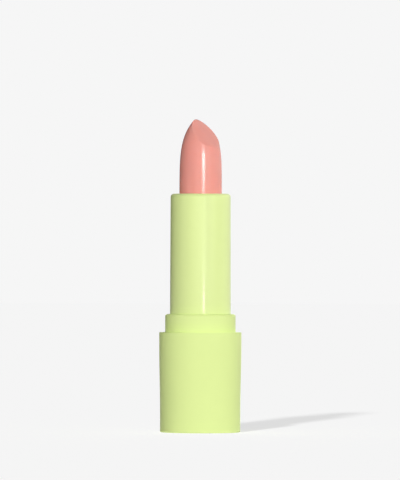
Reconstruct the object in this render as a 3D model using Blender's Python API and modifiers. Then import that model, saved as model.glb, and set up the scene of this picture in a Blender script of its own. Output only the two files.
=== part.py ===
"""Twist-up lipstick with its cap off, raised to the top of its travel.

Nine pieces stand on the Z axis, with the origin at the middle of the foot.
The base holds a steel slug, a moulded insert whose top is the collar, and the slotted guide tube.
The barrel turns on the guide: the outer sleeve with the spiral cam pressed into it.
The carrier slides in the guide: the cup with its two lugs, and the bullet.
Each lug goes through a straight slot of the guide into a spiral groove of the cam,
so turning the barrel anticlockwise, seen from above, draws the bullet down.
"""

import math

import bmesh
import bpy
from mathutils import Matrix, Vector

MM = 0.001

# Bullet: a round bar with an ogive nose, cut by one slanted plane
BULLET_RADIUS = 6.06 * MM
BULLET_LENGTH = 36.7 * MM          # from its bottom to the nose's apex, before the cut
OGIVE_LENGTH = 26.0 * MM
OGIVE_POWER = 5.07                 # how late the nose starts to close
OGIVE_TAPER = 1.02                 # how straight it runs to the apex
CUT_DEPTH = 4.08 * MM              # from the apex down the axis to the cut
CUT_TILT = math.radians(48.7)
CUT_HEADING = math.radians(-42.6)  # the side that the cut faces, from +X
CUT_EDGE = 0.10 * MM
CUT_EDGE_SEGMENTS = 2
BULLET_FOOT_EDGE = 0.6 * MM

# Carrier cup
CUP_WALL = 0.50 * MM
CUP_HEIGHT = 13.5 * MM
CUP_FLOOR = 1.0 * MM
CUP_VENT_RADIUS = 1.6 * MM
CUP_EDGE = 0.15 * MM
CUP_RIB_COUNT = 6
CUP_RIB_WIDTH = 0.7 * MM
CUP_RIB_BITE = 0.25 * MM           # how deep a rib presses into the bullet
CUP_RIB_HEIGHT = 8.0 * MM
LUG_RADIUS = 0.9 * MM
LUG_HEIGHT = 2.5 * MM              # from the cup's bottom to the lug's axis
LUG_COUNT = 2

# Motion
TRAVEL = 24.0 * MM
THREAD_LEAD = 18.0 * MM            # rise of the spiral in one turn
CUP_RECESS = 1.5 * MM              # from the sleeve's rim down to the raised cup

# Clearances
RUNNING_CLEARANCE = 0.08 * MM      # between tubes that turn or slide in each other
PRESS_CLEARANCE = 0.12 * MM        # between pieces pressed together
SEAT_CLEARANCE = 0.30 * MM         # between faces that rest on each other
LUG_CLEARANCE = 0.12 * MM          # round a lug in its slot and groove
SNAP_CLEARANCE = 0.10 * MM         # round the snap bead and the brake ring
COLLAR_CLEARANCE = 0.20 * MM       # round the sleeve in the collar

# Guide tube, called the inner body in the trade
GUIDE_WALL = 0.50 * MM
STOP_LEDGE_WIDTH = 0.80 * MM
NECK_HEIGHT = 2.5 * MM             # from the flange's top to the ledge that stops the cup
FLANGE_THICKNESS = 1.2 * MM
FLANGE_EDGE = 0.2 * MM
FOOT_LENGTH = 9.0 * MM
FOOT_STEP = 1.2 * MM               # how far the foot's ribs stand in from the guide
FOOT_RIB_RISE = 0.4 * MM
FOOT_RIB_WIDTH = 0.9 * MM
FOOT_RIB_COUNT = 8
FOOT_WALL = 1.2 * MM
BEAD_RISE = 0.25 * MM
BEAD_WIDTH = 0.50 * MM

# Brake ring
RING_RADIUS = 0.33 * MM            # of its round section
RING_INSET = 0.75 * MM             # from the barrel's bottom up to the ring's centre
RING_SECTION_SIDES = 8

# Spiral cam
CAM_WALL = 0.82 * MM
CAM_TOP_CHAMFER = 0.5 * MM
GROOVE_DEPTH_SHARE = 0.62          # of the cam's wall
POCKET_RELIEF = 0.05 * MM          # how much deeper the grooves' ends and entries are
SNAP_LIP = 0.30 * MM               # the lip that snaps under the guide's bead

# Outer sleeve
SLEEVE_WALL = 0.36 * MM
SLEEVE_DRAFT = 0.12 * MM           # how much wider its bottom is than its top
SLEEVE_LIP = 0.45 * MM
LIP_CLEARANCE = 0.12 * MM          # round the cup where it passes the lip
RIM_ROUND = 1.0 * MM
RIM_INNER_EDGE = 0.15 * MM

# Insert, whose top is the collar
COLLAR_HEIGHT = 5.2 * MM           # above the base's shoulder
COLLAR_WALL = 1.15 * MM
COLLAR_LEAD_WIDTH = 0.85 * MM      # the rounded lead-in that a cap slides over
COLLAR_LEAD_HEIGHT = 0.6 * MM
COLLAR_BORE_EDGE = 0.15 * MM
BORE_DEPTH = 9.0 * MM              # from the collar's top down to the flange's seat
SEAT_THICKNESS = 1.2 * MM
SKIRT_WALL = 1.1 * MM
SOCKET_WALL = 1.0 * MM
SOCKET_FLOOR = 1.0 * MM
SOCKET_VENT_RADIUS = 2.5 * MM
WEB_COUNT = 6
WEB_THICKNESS = 0.9 * MM
WEB_SHORTFALL = 1.0 * MM           # how far the webs stop above the socket's bottom

# Base shell
BASE_HEIGHT = 28.5 * MM
BASE_WALL = 1.55 * MM              # at the shoulder
BASE_FLOOR = 1.4 * MM
BASE_TAPER = 0.27 * MM             # how much the foot is drawn in
TAPER_TOP = 25.0 * MM
TAPER_BOTTOM = 5.0 * MM
TAPER_STEPS = 6                    # in the soft bend between them
BASE_TOP_EDGE = 0.15 * MM
BASE_BOTTOM_EDGE = 0.4 * MM
FOOT_RING_WIDTH = 1.8 * MM         # the flat ring that the object stands on
FOOT_RECESS = 0.4 * MM

# Steel slug
WEIGHT_HEIGHT = 4.0 * MM
WEIGHT_EDGE = 0.4 * MM

# Facets
SHOWN_SEGMENTS = 56                # round each turned piece that shows
INNER_SEGMENTS = 40                # round each turned piece inside
ARC_STEPS = 3                      # in each rounded corner of a profile
OGIVE_STEPS = 14
LUG_SIDES = 12
SPIRAL_STEPS = 41                  # along each groove
SPIRAL_OVERRUN = math.radians(3.0)  # past the lug's place, inside the round pocket at each end
SHARP_ANGLE = math.radians(30.0)
CUT_OVERRUN = 1.0 * MM             # how far every cutter runs past what it cuts
JOIN_OVERLAP_SHARE = 0.5           # of the wall, how far a rib or lug is sunk before it is joined
MERGE_DISTANCE = 0.001 * MM

# Radii, worked outwards from the bullet
CUP_BORE = BULLET_RADIUS + RUNNING_CLEARANCE
CUP_RADIUS = CUP_BORE + CUP_WALL
GUIDE_BORE = CUP_RADIUS + RUNNING_CLEARANCE
GUIDE_RADIUS = GUIDE_BORE + GUIDE_WALL
CAM_BORE = GUIDE_RADIUS + RUNNING_CLEARANCE
CAM_RADIUS = CAM_BORE + CAM_WALL
GROOVE_RADIUS = CAM_BORE + CAM_WALL * GROOVE_DEPTH_SHARE
POCKET_RADIUS = GROOVE_RADIUS + POCKET_RELIEF
LUG_REACH = GROOVE_RADIUS - SNAP_CLEARANCE
SLEEVE_BORE = CAM_RADIUS + RUNNING_CLEARANCE
SLEEVE_TOP_RADIUS = SLEEVE_BORE + SLEEVE_WALL
SLEEVE_FOOT_RADIUS = SLEEVE_TOP_RADIUS + SLEEVE_DRAFT
COLLAR_BORE = SLEEVE_FOOT_RADIUS + COLLAR_CLEARANCE
COLLAR_RADIUS = COLLAR_BORE + COLLAR_WALL
SHELL_BORE = COLLAR_RADIUS + PRESS_CLEARANCE
BASE_RADIUS = SHELL_BORE + BASE_WALL
BASE_LOWER_RADIUS = BASE_RADIUS - BASE_TAPER
WEIGHT_RADIUS = SHELL_BORE - PRESS_CLEARANCE
FLANGE_RADIUS = COLLAR_BORE - PRESS_CLEARANCE
RING_CENTRE_RADIUS = GROOVE_RADIUS - RUNNING_CLEARANCE - RING_RADIUS
FOOT_RIB_RADIUS = GUIDE_RADIUS - FOOT_STEP
FOOT_RADIUS = FOOT_RIB_RADIUS - FOOT_RIB_RISE
FOOT_BORE = FOOT_RADIUS - FOOT_WALL
SOCKET_BORE = FOOT_RIB_RADIUS + PRESS_CLEARANCE
SOCKET_RADIUS = SOCKET_BORE + SOCKET_WALL
SKIRT_BORE = COLLAR_RADIUS - SKIRT_WALL

# Heights, worked upwards from the foot
WEIGHT_BOTTOM = BASE_FLOOR + SEAT_CLEARANCE
SKIRT_BOTTOM = WEIGHT_BOTTOM + WEIGHT_HEIGHT + SEAT_CLEARANCE
COLLAR_TOP = BASE_HEIGHT + COLLAR_HEIGHT
FLANGE_SEAT = COLLAR_TOP - BORE_DEPTH
FLANGE_BOTTOM = FLANGE_SEAT + SEAT_CLEARANCE
FLANGE_TOP = FLANGE_BOTTOM + FLANGE_THICKNESS
FOOT_BOTTOM = FLANGE_BOTTOM - FOOT_LENGTH
SOCKET_TOP_OF_FLOOR = FOOT_BOTTOM - SEAT_CLEARANCE
SOCKET_BOTTOM = SOCKET_TOP_OF_FLOOR - SOCKET_FLOOR
BARREL_BOTTOM = FLANGE_TOP + SEAT_CLEARANCE
RING_HEIGHT = BARREL_BOTTOM + RING_INSET
COUNTERBORE_TOP = RING_HEIGHT + RING_RADIUS + SNAP_CLEARANCE
BEAD_BOTTOM = COUNTERBORE_TOP + SNAP_LIP + SNAP_CLEARANCE
STOP_LEDGE = FLANGE_TOP + NECK_HEIGHT
CUP_LOWERED = STOP_LEDGE + SEAT_CLEARANCE
CUP_RAISED = CUP_LOWERED + TRAVEL
RIM_HEIGHT = CUP_RAISED + CUP_HEIGHT + CUP_RECESS
TUBE_TOP = RIM_HEIGHT - SLEEVE_LIP - SEAT_CLEARANCE
BULLET_BOTTOM = CUP_RAISED + CUP_FLOOR + SEAT_CLEARANCE
LUG_RAISED = CUP_RAISED + LUG_HEIGHT
LUG_LOWERED = CUP_LOWERED + LUG_HEIGHT
TWIST_RANGE = math.tau * TRAVEL / THREAD_LEAD

AXIS_UP = Vector((0, 0, 1))

PART_COLLECTION = "lipstick"
CUTTER_COLLECTION = "cutters"


def clear_scene():
    """Remove every object that the file starts with."""
    for item in list(bpy.data.objects):
        bpy.data.objects.remove(item, do_unlink=True)


def make_collection(name):
    """Return a new collection linked to the scene."""
    collection = bpy.data.collections.new(name)
    bpy.context.scene.collection.children.link(collection)
    return collection


def make_material(name, colour, roughness, metallic=0.0):
    """Return a Principled material with a plain colour."""
    material = bpy.data.materials.new(name)
    material.use_nodes = True
    shader = material.node_tree.nodes["Principled BSDF"]
    shader.inputs["Base Color"].default_value = (*colour, 1)
    shader.inputs["Roughness"].default_value = roughness
    shader.inputs["Metallic"].default_value = metallic
    material.diffuse_color = (*colour, 1)
    return material


def round_corners(corners, closed=False):
    """Turn (radius, height, fillet) corners into profile points, with an arc at each fillet."""
    points = []
    count = len(corners)
    for index, (radius, height, fillet) in enumerate(corners):
        corner = Vector((radius, height))
        at_end = index in (0, count - 1) and not closed
        if fillet == 0 or at_end:
            points.append(corner)
            continue
        before = (Vector(corners[index - 1][:2]) - corner).normalized()
        after = (Vector(corners[(index + 1) % count][:2]) - corner).normalized()
        half = before.angle(after) / 2
        centre = corner + (before + after).normalized() * (fillet / math.sin(half))
        start = corner + before * (fillet / math.tan(half)) - centre
        end = corner + after * (fillet / math.tan(half)) - centre
        sweep = math.pi - 2 * half
        for step in range(ARC_STEPS + 1):
            share = step / ARC_STEPS
            ahead = end * math.sin(share * sweep)
            behind = start * math.sin((1 - share) * sweep)
            points.append(centre + (ahead + behind) / math.sin(sweep))
    return points


def link_mesh(name, mesh, collection, material=None):
    """Return a new object for a mesh, in a collection."""
    item = bpy.data.objects.new(name, mesh)
    collection.objects.link(item)
    if material is not None:
        mesh.materials.append(material)
    return item


def turned(name, points, collection, material, segments, closed=False):
    """Return a turned object: profile points in (radius, height), swept round Z by a Screw modifier."""
    mesh = bpy.data.meshes.new(name)
    edges = [(index, index + 1) for index in range(len(points) - 1)]
    if closed:
        edges.append((len(points) - 1, 0))
    mesh.from_pydata([(point[0], 0, point[1]) for point in points], edges, [])
    item = link_mesh(name, mesh, collection, material)
    screw = item.modifiers.new("turn", "SCREW")
    screw.axis = "Z"
    screw.steps = segments
    screw.render_steps = segments
    screw.use_merge_vertices = True
    screw.merge_threshold = MERGE_DISTANCE
    return item


def as_cutter(item):
    """Mark an object as a cutter that only shows as wires."""
    item.hide_render = True
    item.display_type = "WIRE"
    return item


def box(name, size, centre, heading, collection):
    """Return a box whose X side points along a heading round the Z axis."""
    shape = bmesh.new()
    bmesh.ops.create_cube(shape, size=1)
    bmesh.ops.scale(shape, vec=size, verts=shape.verts)
    bmesh.ops.translate(shape, vec=centre, verts=shape.verts)
    bmesh.ops.rotate(shape, matrix=Matrix.Rotation(heading, 3, "Z"), verts=shape.verts)
    mesh = bpy.data.meshes.new(name)
    shape.to_mesh(mesh)
    shape.free()
    return as_cutter(link_mesh(name, mesh, collection))


def round_ended_bar(name, half_width, length, bottom, top, heading, collection):
    """Return a bar along a heading through the Z axis, with round ends below and above.

    bottom and top are the heights of the round ends' centres. Its flats lie at half_width.
    """
    corner_radius = half_width / math.cos(math.pi / LUG_SIDES)
    shape = bmesh.new()
    bmesh.ops.create_cone(
        shape,
        cap_ends=True,
        segments=LUG_SIDES,
        radius1=corner_radius,
        radius2=corner_radius,
        depth=length,
        matrix=Matrix.Rotation(math.pi / LUG_SIDES, 4, "Z"),
    )
    bmesh.ops.rotate(shape, matrix=Matrix.Rotation(math.pi / 2, 3, "Y"), verts=shape.verts)
    for vert in shape.verts:
        vert.co.z += top if vert.co.z > 0 else bottom
    bmesh.ops.rotate(shape, matrix=Matrix.Rotation(heading, 3, "Z"), verts=shape.verts)
    mesh = bpy.data.meshes.new(name)
    shape.to_mesh(mesh)
    shape.free()
    return as_cutter(link_mesh(name, mesh, collection))


def apply_boolean(item, tool, operation):
    """Cut an object with a tool, or join the tool to it. The tool follows the object's place."""
    tool.parent = item
    change = item.modifiers.new(tool.name, "BOOLEAN")
    change.operation = operation
    change.solver = "EXACT"
    change.object = tool


def settle(item):
    """Replace an object's modifiers by their result, cleaned, and smooth between its sharp edges."""
    depsgraph = bpy.context.evaluated_depsgraph_get()
    mesh = bpy.data.meshes.new_from_object(item.evaluated_get(depsgraph))
    mesh.name = item.name
    shape = bmesh.new()
    shape.from_mesh(mesh)
    bmesh.ops.remove_doubles(shape, verts=shape.verts, dist=MERGE_DISTANCE)
    bmesh.ops.dissolve_degenerate(shape, edges=shape.edges, dist=MERGE_DISTANCE)
    shape.to_mesh(mesh)
    shape.free()
    item.modifiers.clear()
    item.data = mesh
    mesh.shade_smooth()
    mesh.set_sharp_from_angle(angle=SHARP_ANGLE)


def make_base_shell(parts, material):
    """The lower shell: a cup whose bore takes the insert, standing on a narrow flat ring."""
    recess_radius = BASE_LOWER_RADIUS - FOOT_RING_WIDTH
    waist = []
    for step in range(TAPER_STEPS + 1):
        share = step / TAPER_STEPS
        ease = (1 - math.cos(math.pi * share)) / 2
        height = TAPER_TOP + (TAPER_BOTTOM - TAPER_TOP) * share
        waist.append((BASE_RADIUS - BASE_TAPER * ease, height, 0))
    corners = [
        (0, BASE_FLOOR, 0),
        (SHELL_BORE, BASE_FLOOR, 0),
        (SHELL_BORE, BASE_HEIGHT, 0),
        (BASE_RADIUS, BASE_HEIGHT, BASE_TOP_EDGE),
        *waist,
        (BASE_LOWER_RADIUS, 0, BASE_BOTTOM_EDGE),
        (recess_radius, 0, 0),
        (recess_radius - FOOT_RECESS, FOOT_RECESS, 0),
        (0, FOOT_RECESS, 0),
    ]
    return turned("base_shell", round_corners(corners), parts, material, SHOWN_SEGMENTS)


def make_base_weight(parts, material):
    """The steel slug that lies on the shell's floor, under the insert's skirt."""
    corners = [
        (0, WEIGHT_HEIGHT),
        (WEIGHT_RADIUS - WEIGHT_EDGE, WEIGHT_HEIGHT),
        (WEIGHT_RADIUS, WEIGHT_HEIGHT - WEIGHT_EDGE),
        (WEIGHT_RADIUS, WEIGHT_EDGE),
        (WEIGHT_RADIUS - WEIGHT_EDGE, 0),
        (0, 0),
    ]
    item = turned("base_weight", corners, parts, material, INNER_SEGMENTS)
    item.location.z = WEIGHT_BOTTOM
    return item


def collar_lead_in():
    """Profile points of the collar's rounded top edge, a quarter ellipse from the top down."""
    points = []
    for step in range(ARC_STEPS + 1):
        angle = math.pi / 2 * (1 - step / ARC_STEPS)
        radius = COLLAR_RADIUS - COLLAR_LEAD_WIDTH * (1 - math.cos(angle))
        height = COLLAR_TOP - COLLAR_LEAD_HEIGHT * (1 - math.sin(angle))
        points.append((radius, height))
    return points


def make_collar_insert(parts, cutters, material):
    """The moulded insert: the collar on top, the skirt in the shell and the socket for the guide."""
    seat_underside = FLANGE_SEAT - SEAT_THICKNESS
    inside = [
        (COLLAR_RADIUS, SKIRT_BOTTOM),
        (SKIRT_BORE, SKIRT_BOTTOM),
        (SKIRT_BORE, seat_underside),
        (SOCKET_RADIUS, seat_underside),
        (SOCKET_RADIUS, SOCKET_BOTTOM),
        (SOCKET_VENT_RADIUS, SOCKET_BOTTOM),
        (SOCKET_VENT_RADIUS, SOCKET_TOP_OF_FLOOR),
        (SOCKET_BORE, SOCKET_TOP_OF_FLOOR),
        (SOCKET_BORE, FLANGE_SEAT),
        (COLLAR_BORE, FLANGE_SEAT),
        (COLLAR_BORE, COLLAR_TOP - COLLAR_BORE_EDGE),
        (COLLAR_BORE + COLLAR_BORE_EDGE, COLLAR_TOP),
    ]
    points = collar_lead_in() + inside
    item = turned("collar_insert", points, parts, material, SHOWN_SEGMENTS, closed=True)
    web_bottom = SOCKET_BOTTOM + WEB_SHORTFALL
    web_inner = SOCKET_RADIUS - SOCKET_WALL * JOIN_OVERLAP_SHARE
    web_outer = SKIRT_BORE + SKIRT_WALL * JOIN_OVERLAP_SHARE
    web_top = seat_underside + SEAT_THICKNESS * JOIN_OVERLAP_SHARE
    size = (web_outer - web_inner, WEB_THICKNESS, web_top - web_bottom)
    centre = ((web_outer + web_inner) / 2, 0, (web_top + web_bottom) / 2)
    for index in range(WEB_COUNT):
        heading = math.tau * index / WEB_COUNT
        web = box(f"insert_web_{index + 1}", size, centre, heading, cutters)
        apply_boolean(item, web, "UNION")
    return item


def make_inner_body(parts, cutters, material):
    """The guide tube: straight slots for the lugs, neck groove and bead, flange and ribbed foot."""
    groove_floor = RING_CENTRE_RADIUS - RING_RADIUS - SNAP_CLEARANCE
    groove_half = RING_RADIUS + SNAP_CLEARANCE
    bead_radius = GUIDE_RADIUS + BEAD_RISE
    bead_top = BEAD_BOTTOM + BEAD_WIDTH
    neck_bore = GUIDE_BORE - STOP_LEDGE_WIDTH
    corners = [
        (GUIDE_RADIUS, TUBE_TOP),
        (GUIDE_RADIUS, bead_top + BEAD_RISE),
        (bead_radius, bead_top),
        (bead_radius, BEAD_BOTTOM),
        (GUIDE_RADIUS, BEAD_BOTTOM),
        (GUIDE_RADIUS, RING_HEIGHT + groove_half),
        (groove_floor, RING_HEIGHT + groove_half),
        (groove_floor, RING_HEIGHT - groove_half),
        (GUIDE_RADIUS, RING_HEIGHT - groove_half),
        (GUIDE_RADIUS, FLANGE_TOP),
        (FLANGE_RADIUS, FLANGE_TOP),
        (FLANGE_RADIUS, FLANGE_BOTTOM + FLANGE_EDGE),
        (FLANGE_RADIUS - FLANGE_EDGE, FLANGE_BOTTOM),
        (FOOT_RADIUS, FLANGE_BOTTOM),
        (FOOT_RADIUS, FOOT_BOTTOM),
        (FOOT_BORE, FOOT_BOTTOM),
        (FOOT_BORE, FLANGE_BOTTOM),
        (neck_bore, FLANGE_TOP),
        (neck_bore, STOP_LEDGE),
        (GUIDE_BORE, STOP_LEDGE),
        (GUIDE_BORE, TUBE_TOP),
    ]
    item = turned("inner_body", corners, parts, material, INNER_SEGMENTS, closed=True)
    rib_inner = FOOT_RADIUS - FOOT_WALL * JOIN_OVERLAP_SHARE
    rib_top = FLANGE_BOTTOM + FLANGE_THICKNESS * JOIN_OVERLAP_SHARE
    rib_bottom = FOOT_BOTTOM + FOOT_RIB_RISE
    size = (FOOT_RIB_RADIUS - rib_inner, FOOT_RIB_WIDTH, rib_top - rib_bottom)
    centre = ((FOOT_RIB_RADIUS + rib_inner) / 2, 0, (rib_top + rib_bottom) / 2)
    for index in range(FOOT_RIB_COUNT):
        heading = math.tau * index / FOOT_RIB_COUNT
        rib = box(f"foot_rib_{index + 1}", size, centre, heading, cutters)
        apply_boolean(item, rib, "UNION")
    slots = round_ended_bar(
        "lug_slots",
        LUG_RADIUS + LUG_CLEARANCE,
        2 * (GUIDE_RADIUS + CUT_OVERRUN),
        LUG_LOWERED,
        LUG_RAISED,
        0,
        cutters,
    )
    apply_boolean(item, slots, "DIFFERENCE")
    return item


def make_brake_ring(parts, material):
    """The soft ring in the neck groove, which drags on the cam's counterbore."""
    points = []
    for step in range(RING_SECTION_SIDES):
        angle = -math.tau * step / RING_SECTION_SIDES
        radius = RING_CENTRE_RADIUS + RING_RADIUS * math.cos(angle)
        points.append(Vector((radius, RING_RADIUS * math.sin(angle))))
    item = turned("brake_ring", points, parts, material, INNER_SEGMENTS, closed=True)
    item.location.z = RING_HEIGHT
    return item


def spiral_groove(name, start_heading, collection):
    """Return the cutter of one spiral groove, swept down from a raised lug's place."""
    sweep = TWIST_RANGE + 2 * SPIRAL_OVERRUN
    fall = THREAD_LEAD * sweep / math.tau
    start_height = LUG_RAISED + THREAD_LEAD * SPIRAL_OVERRUN / math.tau
    slope = THREAD_LEAD / (math.tau * GUIDE_RADIUS)
    half_height = (LUG_RADIUS + LUG_CLEARANCE) * math.hypot(1, slope)
    inner = GUIDE_RADIUS - CUT_OVERRUN
    outline = [
        (inner, -half_height),
        (GROOVE_RADIUS, -half_height),
        (GROOVE_RADIUS, half_height),
        (inner, half_height),
    ]
    shape = bmesh.new()
    verts = [shape.verts.new((radius, 0, start_height + height)) for radius, height in outline]
    face = shape.faces.new(verts)
    start = Matrix.Rotation(start_heading + SPIRAL_OVERRUN, 3, "Z")
    bmesh.ops.rotate(shape, matrix=start, verts=shape.verts)
    bmesh.ops.spin(
        shape,
        geom=[face, *face.edges, *face.verts],
        axis=-AXIS_UP,
        dvec=-AXIS_UP * (fall / SPIRAL_STEPS),
        angle=sweep,
        steps=SPIRAL_STEPS,
    )
    bmesh.ops.triangulate(shape, faces=shape.faces)
    bmesh.ops.recalc_face_normals(shape, faces=shape.faces)
    mesh = bpy.data.meshes.new(name)
    shape.to_mesh(mesh)
    shape.free()
    return as_cutter(link_mesh(name, mesh, collection))


def make_cam_sleeve(parts, cutters, material):
    """The spiral cam: two right-handed grooves, their entry channels, and the snap lip below."""
    counterbore = GROOVE_RADIUS
    snap_radius = GUIDE_RADIUS + BEAD_RISE + SNAP_CLEARANCE
    lip_top = COUNTERBORE_TOP + SNAP_LIP
    snap_top = BEAD_BOTTOM + BEAD_WIDTH + SNAP_CLEARANCE
    corners = [
        (CAM_RADIUS - CAM_TOP_CHAMFER, TUBE_TOP),
        (CAM_RADIUS, TUBE_TOP - CAM_TOP_CHAMFER),
        (CAM_RADIUS, BARREL_BOTTOM),
        (counterbore, BARREL_BOTTOM),
        (counterbore, COUNTERBORE_TOP),
        (CAM_BORE, COUNTERBORE_TOP),
        (CAM_BORE, lip_top),
        (snap_radius, lip_top),
        (snap_radius, snap_top),
        (CAM_BORE, snap_top + BEAD_RISE),
        (CAM_BORE, TUBE_TOP),
    ]
    item = turned("cam_sleeve", corners, parts, material, INNER_SEGMENTS, closed=True)
    half_width = LUG_RADIUS + LUG_CLEARANCE
    for index in range(LUG_COUNT):
        heading = math.tau * index / LUG_COUNT
        groove = spiral_groove(f"spiral_groove_{index + 1}", heading, cutters)
        apply_boolean(item, groove, "DIFFERENCE")
    upper_ends = round_ended_bar(
        "groove_upper_ends",
        half_width,
        2 * POCKET_RADIUS,
        LUG_RAISED,
        LUG_RAISED,
        0,
        cutters,
    )
    apply_boolean(item, upper_ends, "DIFFERENCE")
    entry_channels = round_ended_bar(
        "entry_channels",
        half_width,
        2 * POCKET_RADIUS,
        BARREL_BOTTOM - CUT_OVERRUN,
        LUG_LOWERED,
        -TWIST_RANGE,
        cutters,
    )
    apply_boolean(item, entry_channels, "DIFFERENCE")
    return item


def make_outer_sleeve(parts, material):
    """The thin drawn sleeve: a rim turned in over the tubes, and a slight draft."""
    lip_radius = CUP_RADIUS + LIP_CLEARANCE
    inner_round = max(RIM_ROUND - SLEEVE_WALL, 0)
    foot_bore = SLEEVE_FOOT_RADIUS - SLEEVE_WALL
    corners = [
        (lip_radius, RIM_HEIGHT, RIM_INNER_EDGE),
        (SLEEVE_TOP_RADIUS, RIM_HEIGHT, RIM_ROUND),
        (SLEEVE_FOOT_RADIUS, BARREL_BOTTOM, 0),
        (foot_bore, BARREL_BOTTOM, 0),
        (SLEEVE_BORE, RIM_HEIGHT - SLEEVE_LIP, inner_round),
        (lip_radius, RIM_HEIGHT - SLEEVE_LIP, 0),
    ]
    points = round_corners(corners, closed=True)
    return turned("outer_sleeve", points, parts, material, SHOWN_SEGMENTS, closed=True)


def make_carrier_cup(parts, cutters, material):
    """The cup that carries the bullet: ribs inside to grip it, two lugs outside."""
    corners = [
        (CUP_RADIUS - CUP_EDGE, CUP_HEIGHT),
        (CUP_RADIUS, CUP_HEIGHT - CUP_EDGE),
        (CUP_RADIUS, CUP_EDGE),
        (CUP_RADIUS - CUP_EDGE, 0),
        (CUP_VENT_RADIUS, 0),
        (CUP_VENT_RADIUS, CUP_FLOOR),
        (CUP_BORE, CUP_FLOOR),
        (CUP_BORE, CUP_HEIGHT - CUP_EDGE),
        (CUP_BORE + CUP_EDGE, CUP_HEIGHT),
    ]
    item = turned("carrier_cup", corners, parts, material, INNER_SEGMENTS, closed=True)
    rib_inner = BULLET_RADIUS - CUP_RIB_BITE
    rib_outer = CUP_BORE + CUP_WALL * JOIN_OVERLAP_SHARE
    rib_bottom = CUP_FLOOR * JOIN_OVERLAP_SHARE
    rib_top = CUP_FLOOR + CUP_RIB_HEIGHT
    size = (rib_outer - rib_inner, CUP_RIB_WIDTH, rib_top - rib_bottom)
    centre = ((rib_outer + rib_inner) / 2, 0, (rib_top + rib_bottom) / 2)
    for index in range(CUP_RIB_COUNT):
        heading = math.tau * (index + 0.5) / CUP_RIB_COUNT
        rib = box(f"cup_rib_{index + 1}", size, centre, heading, cutters)
        apply_boolean(item, rib, "UNION")
    lug_root = CUP_RADIUS - CUP_WALL * JOIN_OVERLAP_SHARE
    for index in range(LUG_COUNT):
        heading = math.tau * index / LUG_COUNT
        shape = bmesh.new()
        bmesh.ops.create_cone(
            shape,
            cap_ends=True,
            segments=LUG_SIDES,
            radius1=LUG_RADIUS,
            radius2=LUG_RADIUS,
            depth=LUG_REACH - lug_root,
            matrix=Matrix.Rotation(math.pi / 2, 4, "Y"),
        )
        place = Vector(((LUG_REACH + lug_root) / 2, 0, LUG_HEIGHT))
        bmesh.ops.translate(shape, vec=place, verts=shape.verts)
        bmesh.ops.rotate(shape, matrix=Matrix.Rotation(heading, 3, "Z"), verts=shape.verts)
        mesh = bpy.data.meshes.new(f"lug_{index + 1}")
        shape.to_mesh(mesh)
        shape.free()
        lug = as_cutter(link_mesh(mesh.name, mesh, cutters))
        apply_boolean(item, lug, "UNION")
    return item


def bullet_profile():
    """Profile points of the uncut bullet, from the nose's apex down to the middle of its bottom."""
    shoulder = BULLET_LENGTH - OGIVE_LENGTH
    points = []
    for step in range(OGIVE_STEPS + 1):
        rise = math.cos(math.pi / 2 * step / OGIVE_STEPS)
        radius = BULLET_RADIUS * max(1 - rise ** OGIVE_POWER, 0) ** OGIVE_TAPER
        points.append(Vector((radius, shoulder + OGIVE_LENGTH * rise)))
    points.append(Vector((BULLET_RADIUS, BULLET_FOOT_EDGE)))
    points.append(Vector((BULLET_RADIUS - BULLET_FOOT_EDGE, 0)))
    points.append(Vector((0, 0)))
    return points


def make_bullet(parts, cutters, material):
    """The bullet: an ogive bar with a slanted teardrop cut, and the marks of the cup's ribs."""
    item = turned("bullet", bullet_profile(), parts, material, SHOWN_SEGMENTS)
    span = 2 * (BULLET_LENGTH + CUT_OVERRUN)
    slope = Matrix.Rotation(CUT_HEADING, 4, "Z") @ Matrix.Rotation(CUT_TILT, 4, "Y")
    shape = bmesh.new()
    bmesh.ops.create_cube(shape, size=span)
    bmesh.ops.translate(shape, vec=AXIS_UP * (span / 2), verts=shape.verts)
    bmesh.ops.transform(shape, matrix=slope, verts=shape.verts)
    bmesh.ops.translate(shape, vec=AXIS_UP * (BULLET_LENGTH - CUT_DEPTH), verts=shape.verts)
    mesh = bpy.data.meshes.new("slanted_cut")
    shape.to_mesh(mesh)
    shape.free()
    slanted_cut = as_cutter(link_mesh("slanted_cut", mesh, cutters))
    apply_boolean(item, slanted_cut, "DIFFERENCE")
    edge = item.modifiers.new("cut_edge", "BEVEL")
    edge.width = CUT_EDGE
    edge.segments = CUT_EDGE_SEGMENTS
    edge.limit_method = "ANGLE"
    edge.angle_limit = SHARP_ANGLE
    mark_inner = BULLET_RADIUS - CUP_RIB_BITE - RUNNING_CLEARANCE
    mark_outer = BULLET_RADIUS + CUT_OVERRUN
    mark_top = CUP_RIB_HEIGHT
    size = (mark_outer - mark_inner, CUP_RIB_WIDTH + 2 * RUNNING_CLEARANCE, mark_top + CUT_OVERRUN)
    centre = ((mark_outer + mark_inner) / 2, 0, (mark_top - CUT_OVERRUN) / 2)
    for index in range(CUP_RIB_COUNT):
        heading = math.tau * (index + 0.5) / CUP_RIB_COUNT
        mark = box(f"rib_mark_{index + 1}", size, centre, heading, cutters)
        apply_boolean(item, mark, "DIFFERENCE")
    return item


def make_axis_empty(name, height, collection):
    """Return an empty on the Z axis, which a moving group hangs from."""
    empty = bpy.data.objects.new(name, None)
    empty.location.z = height
    empty.empty_display_size = BASE_RADIUS
    collection.objects.link(empty)
    return empty


def hang(item, empty):
    """Parent an object to an empty and keep its place in the world."""
    item.parent = empty
    item.location -= empty.location


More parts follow.
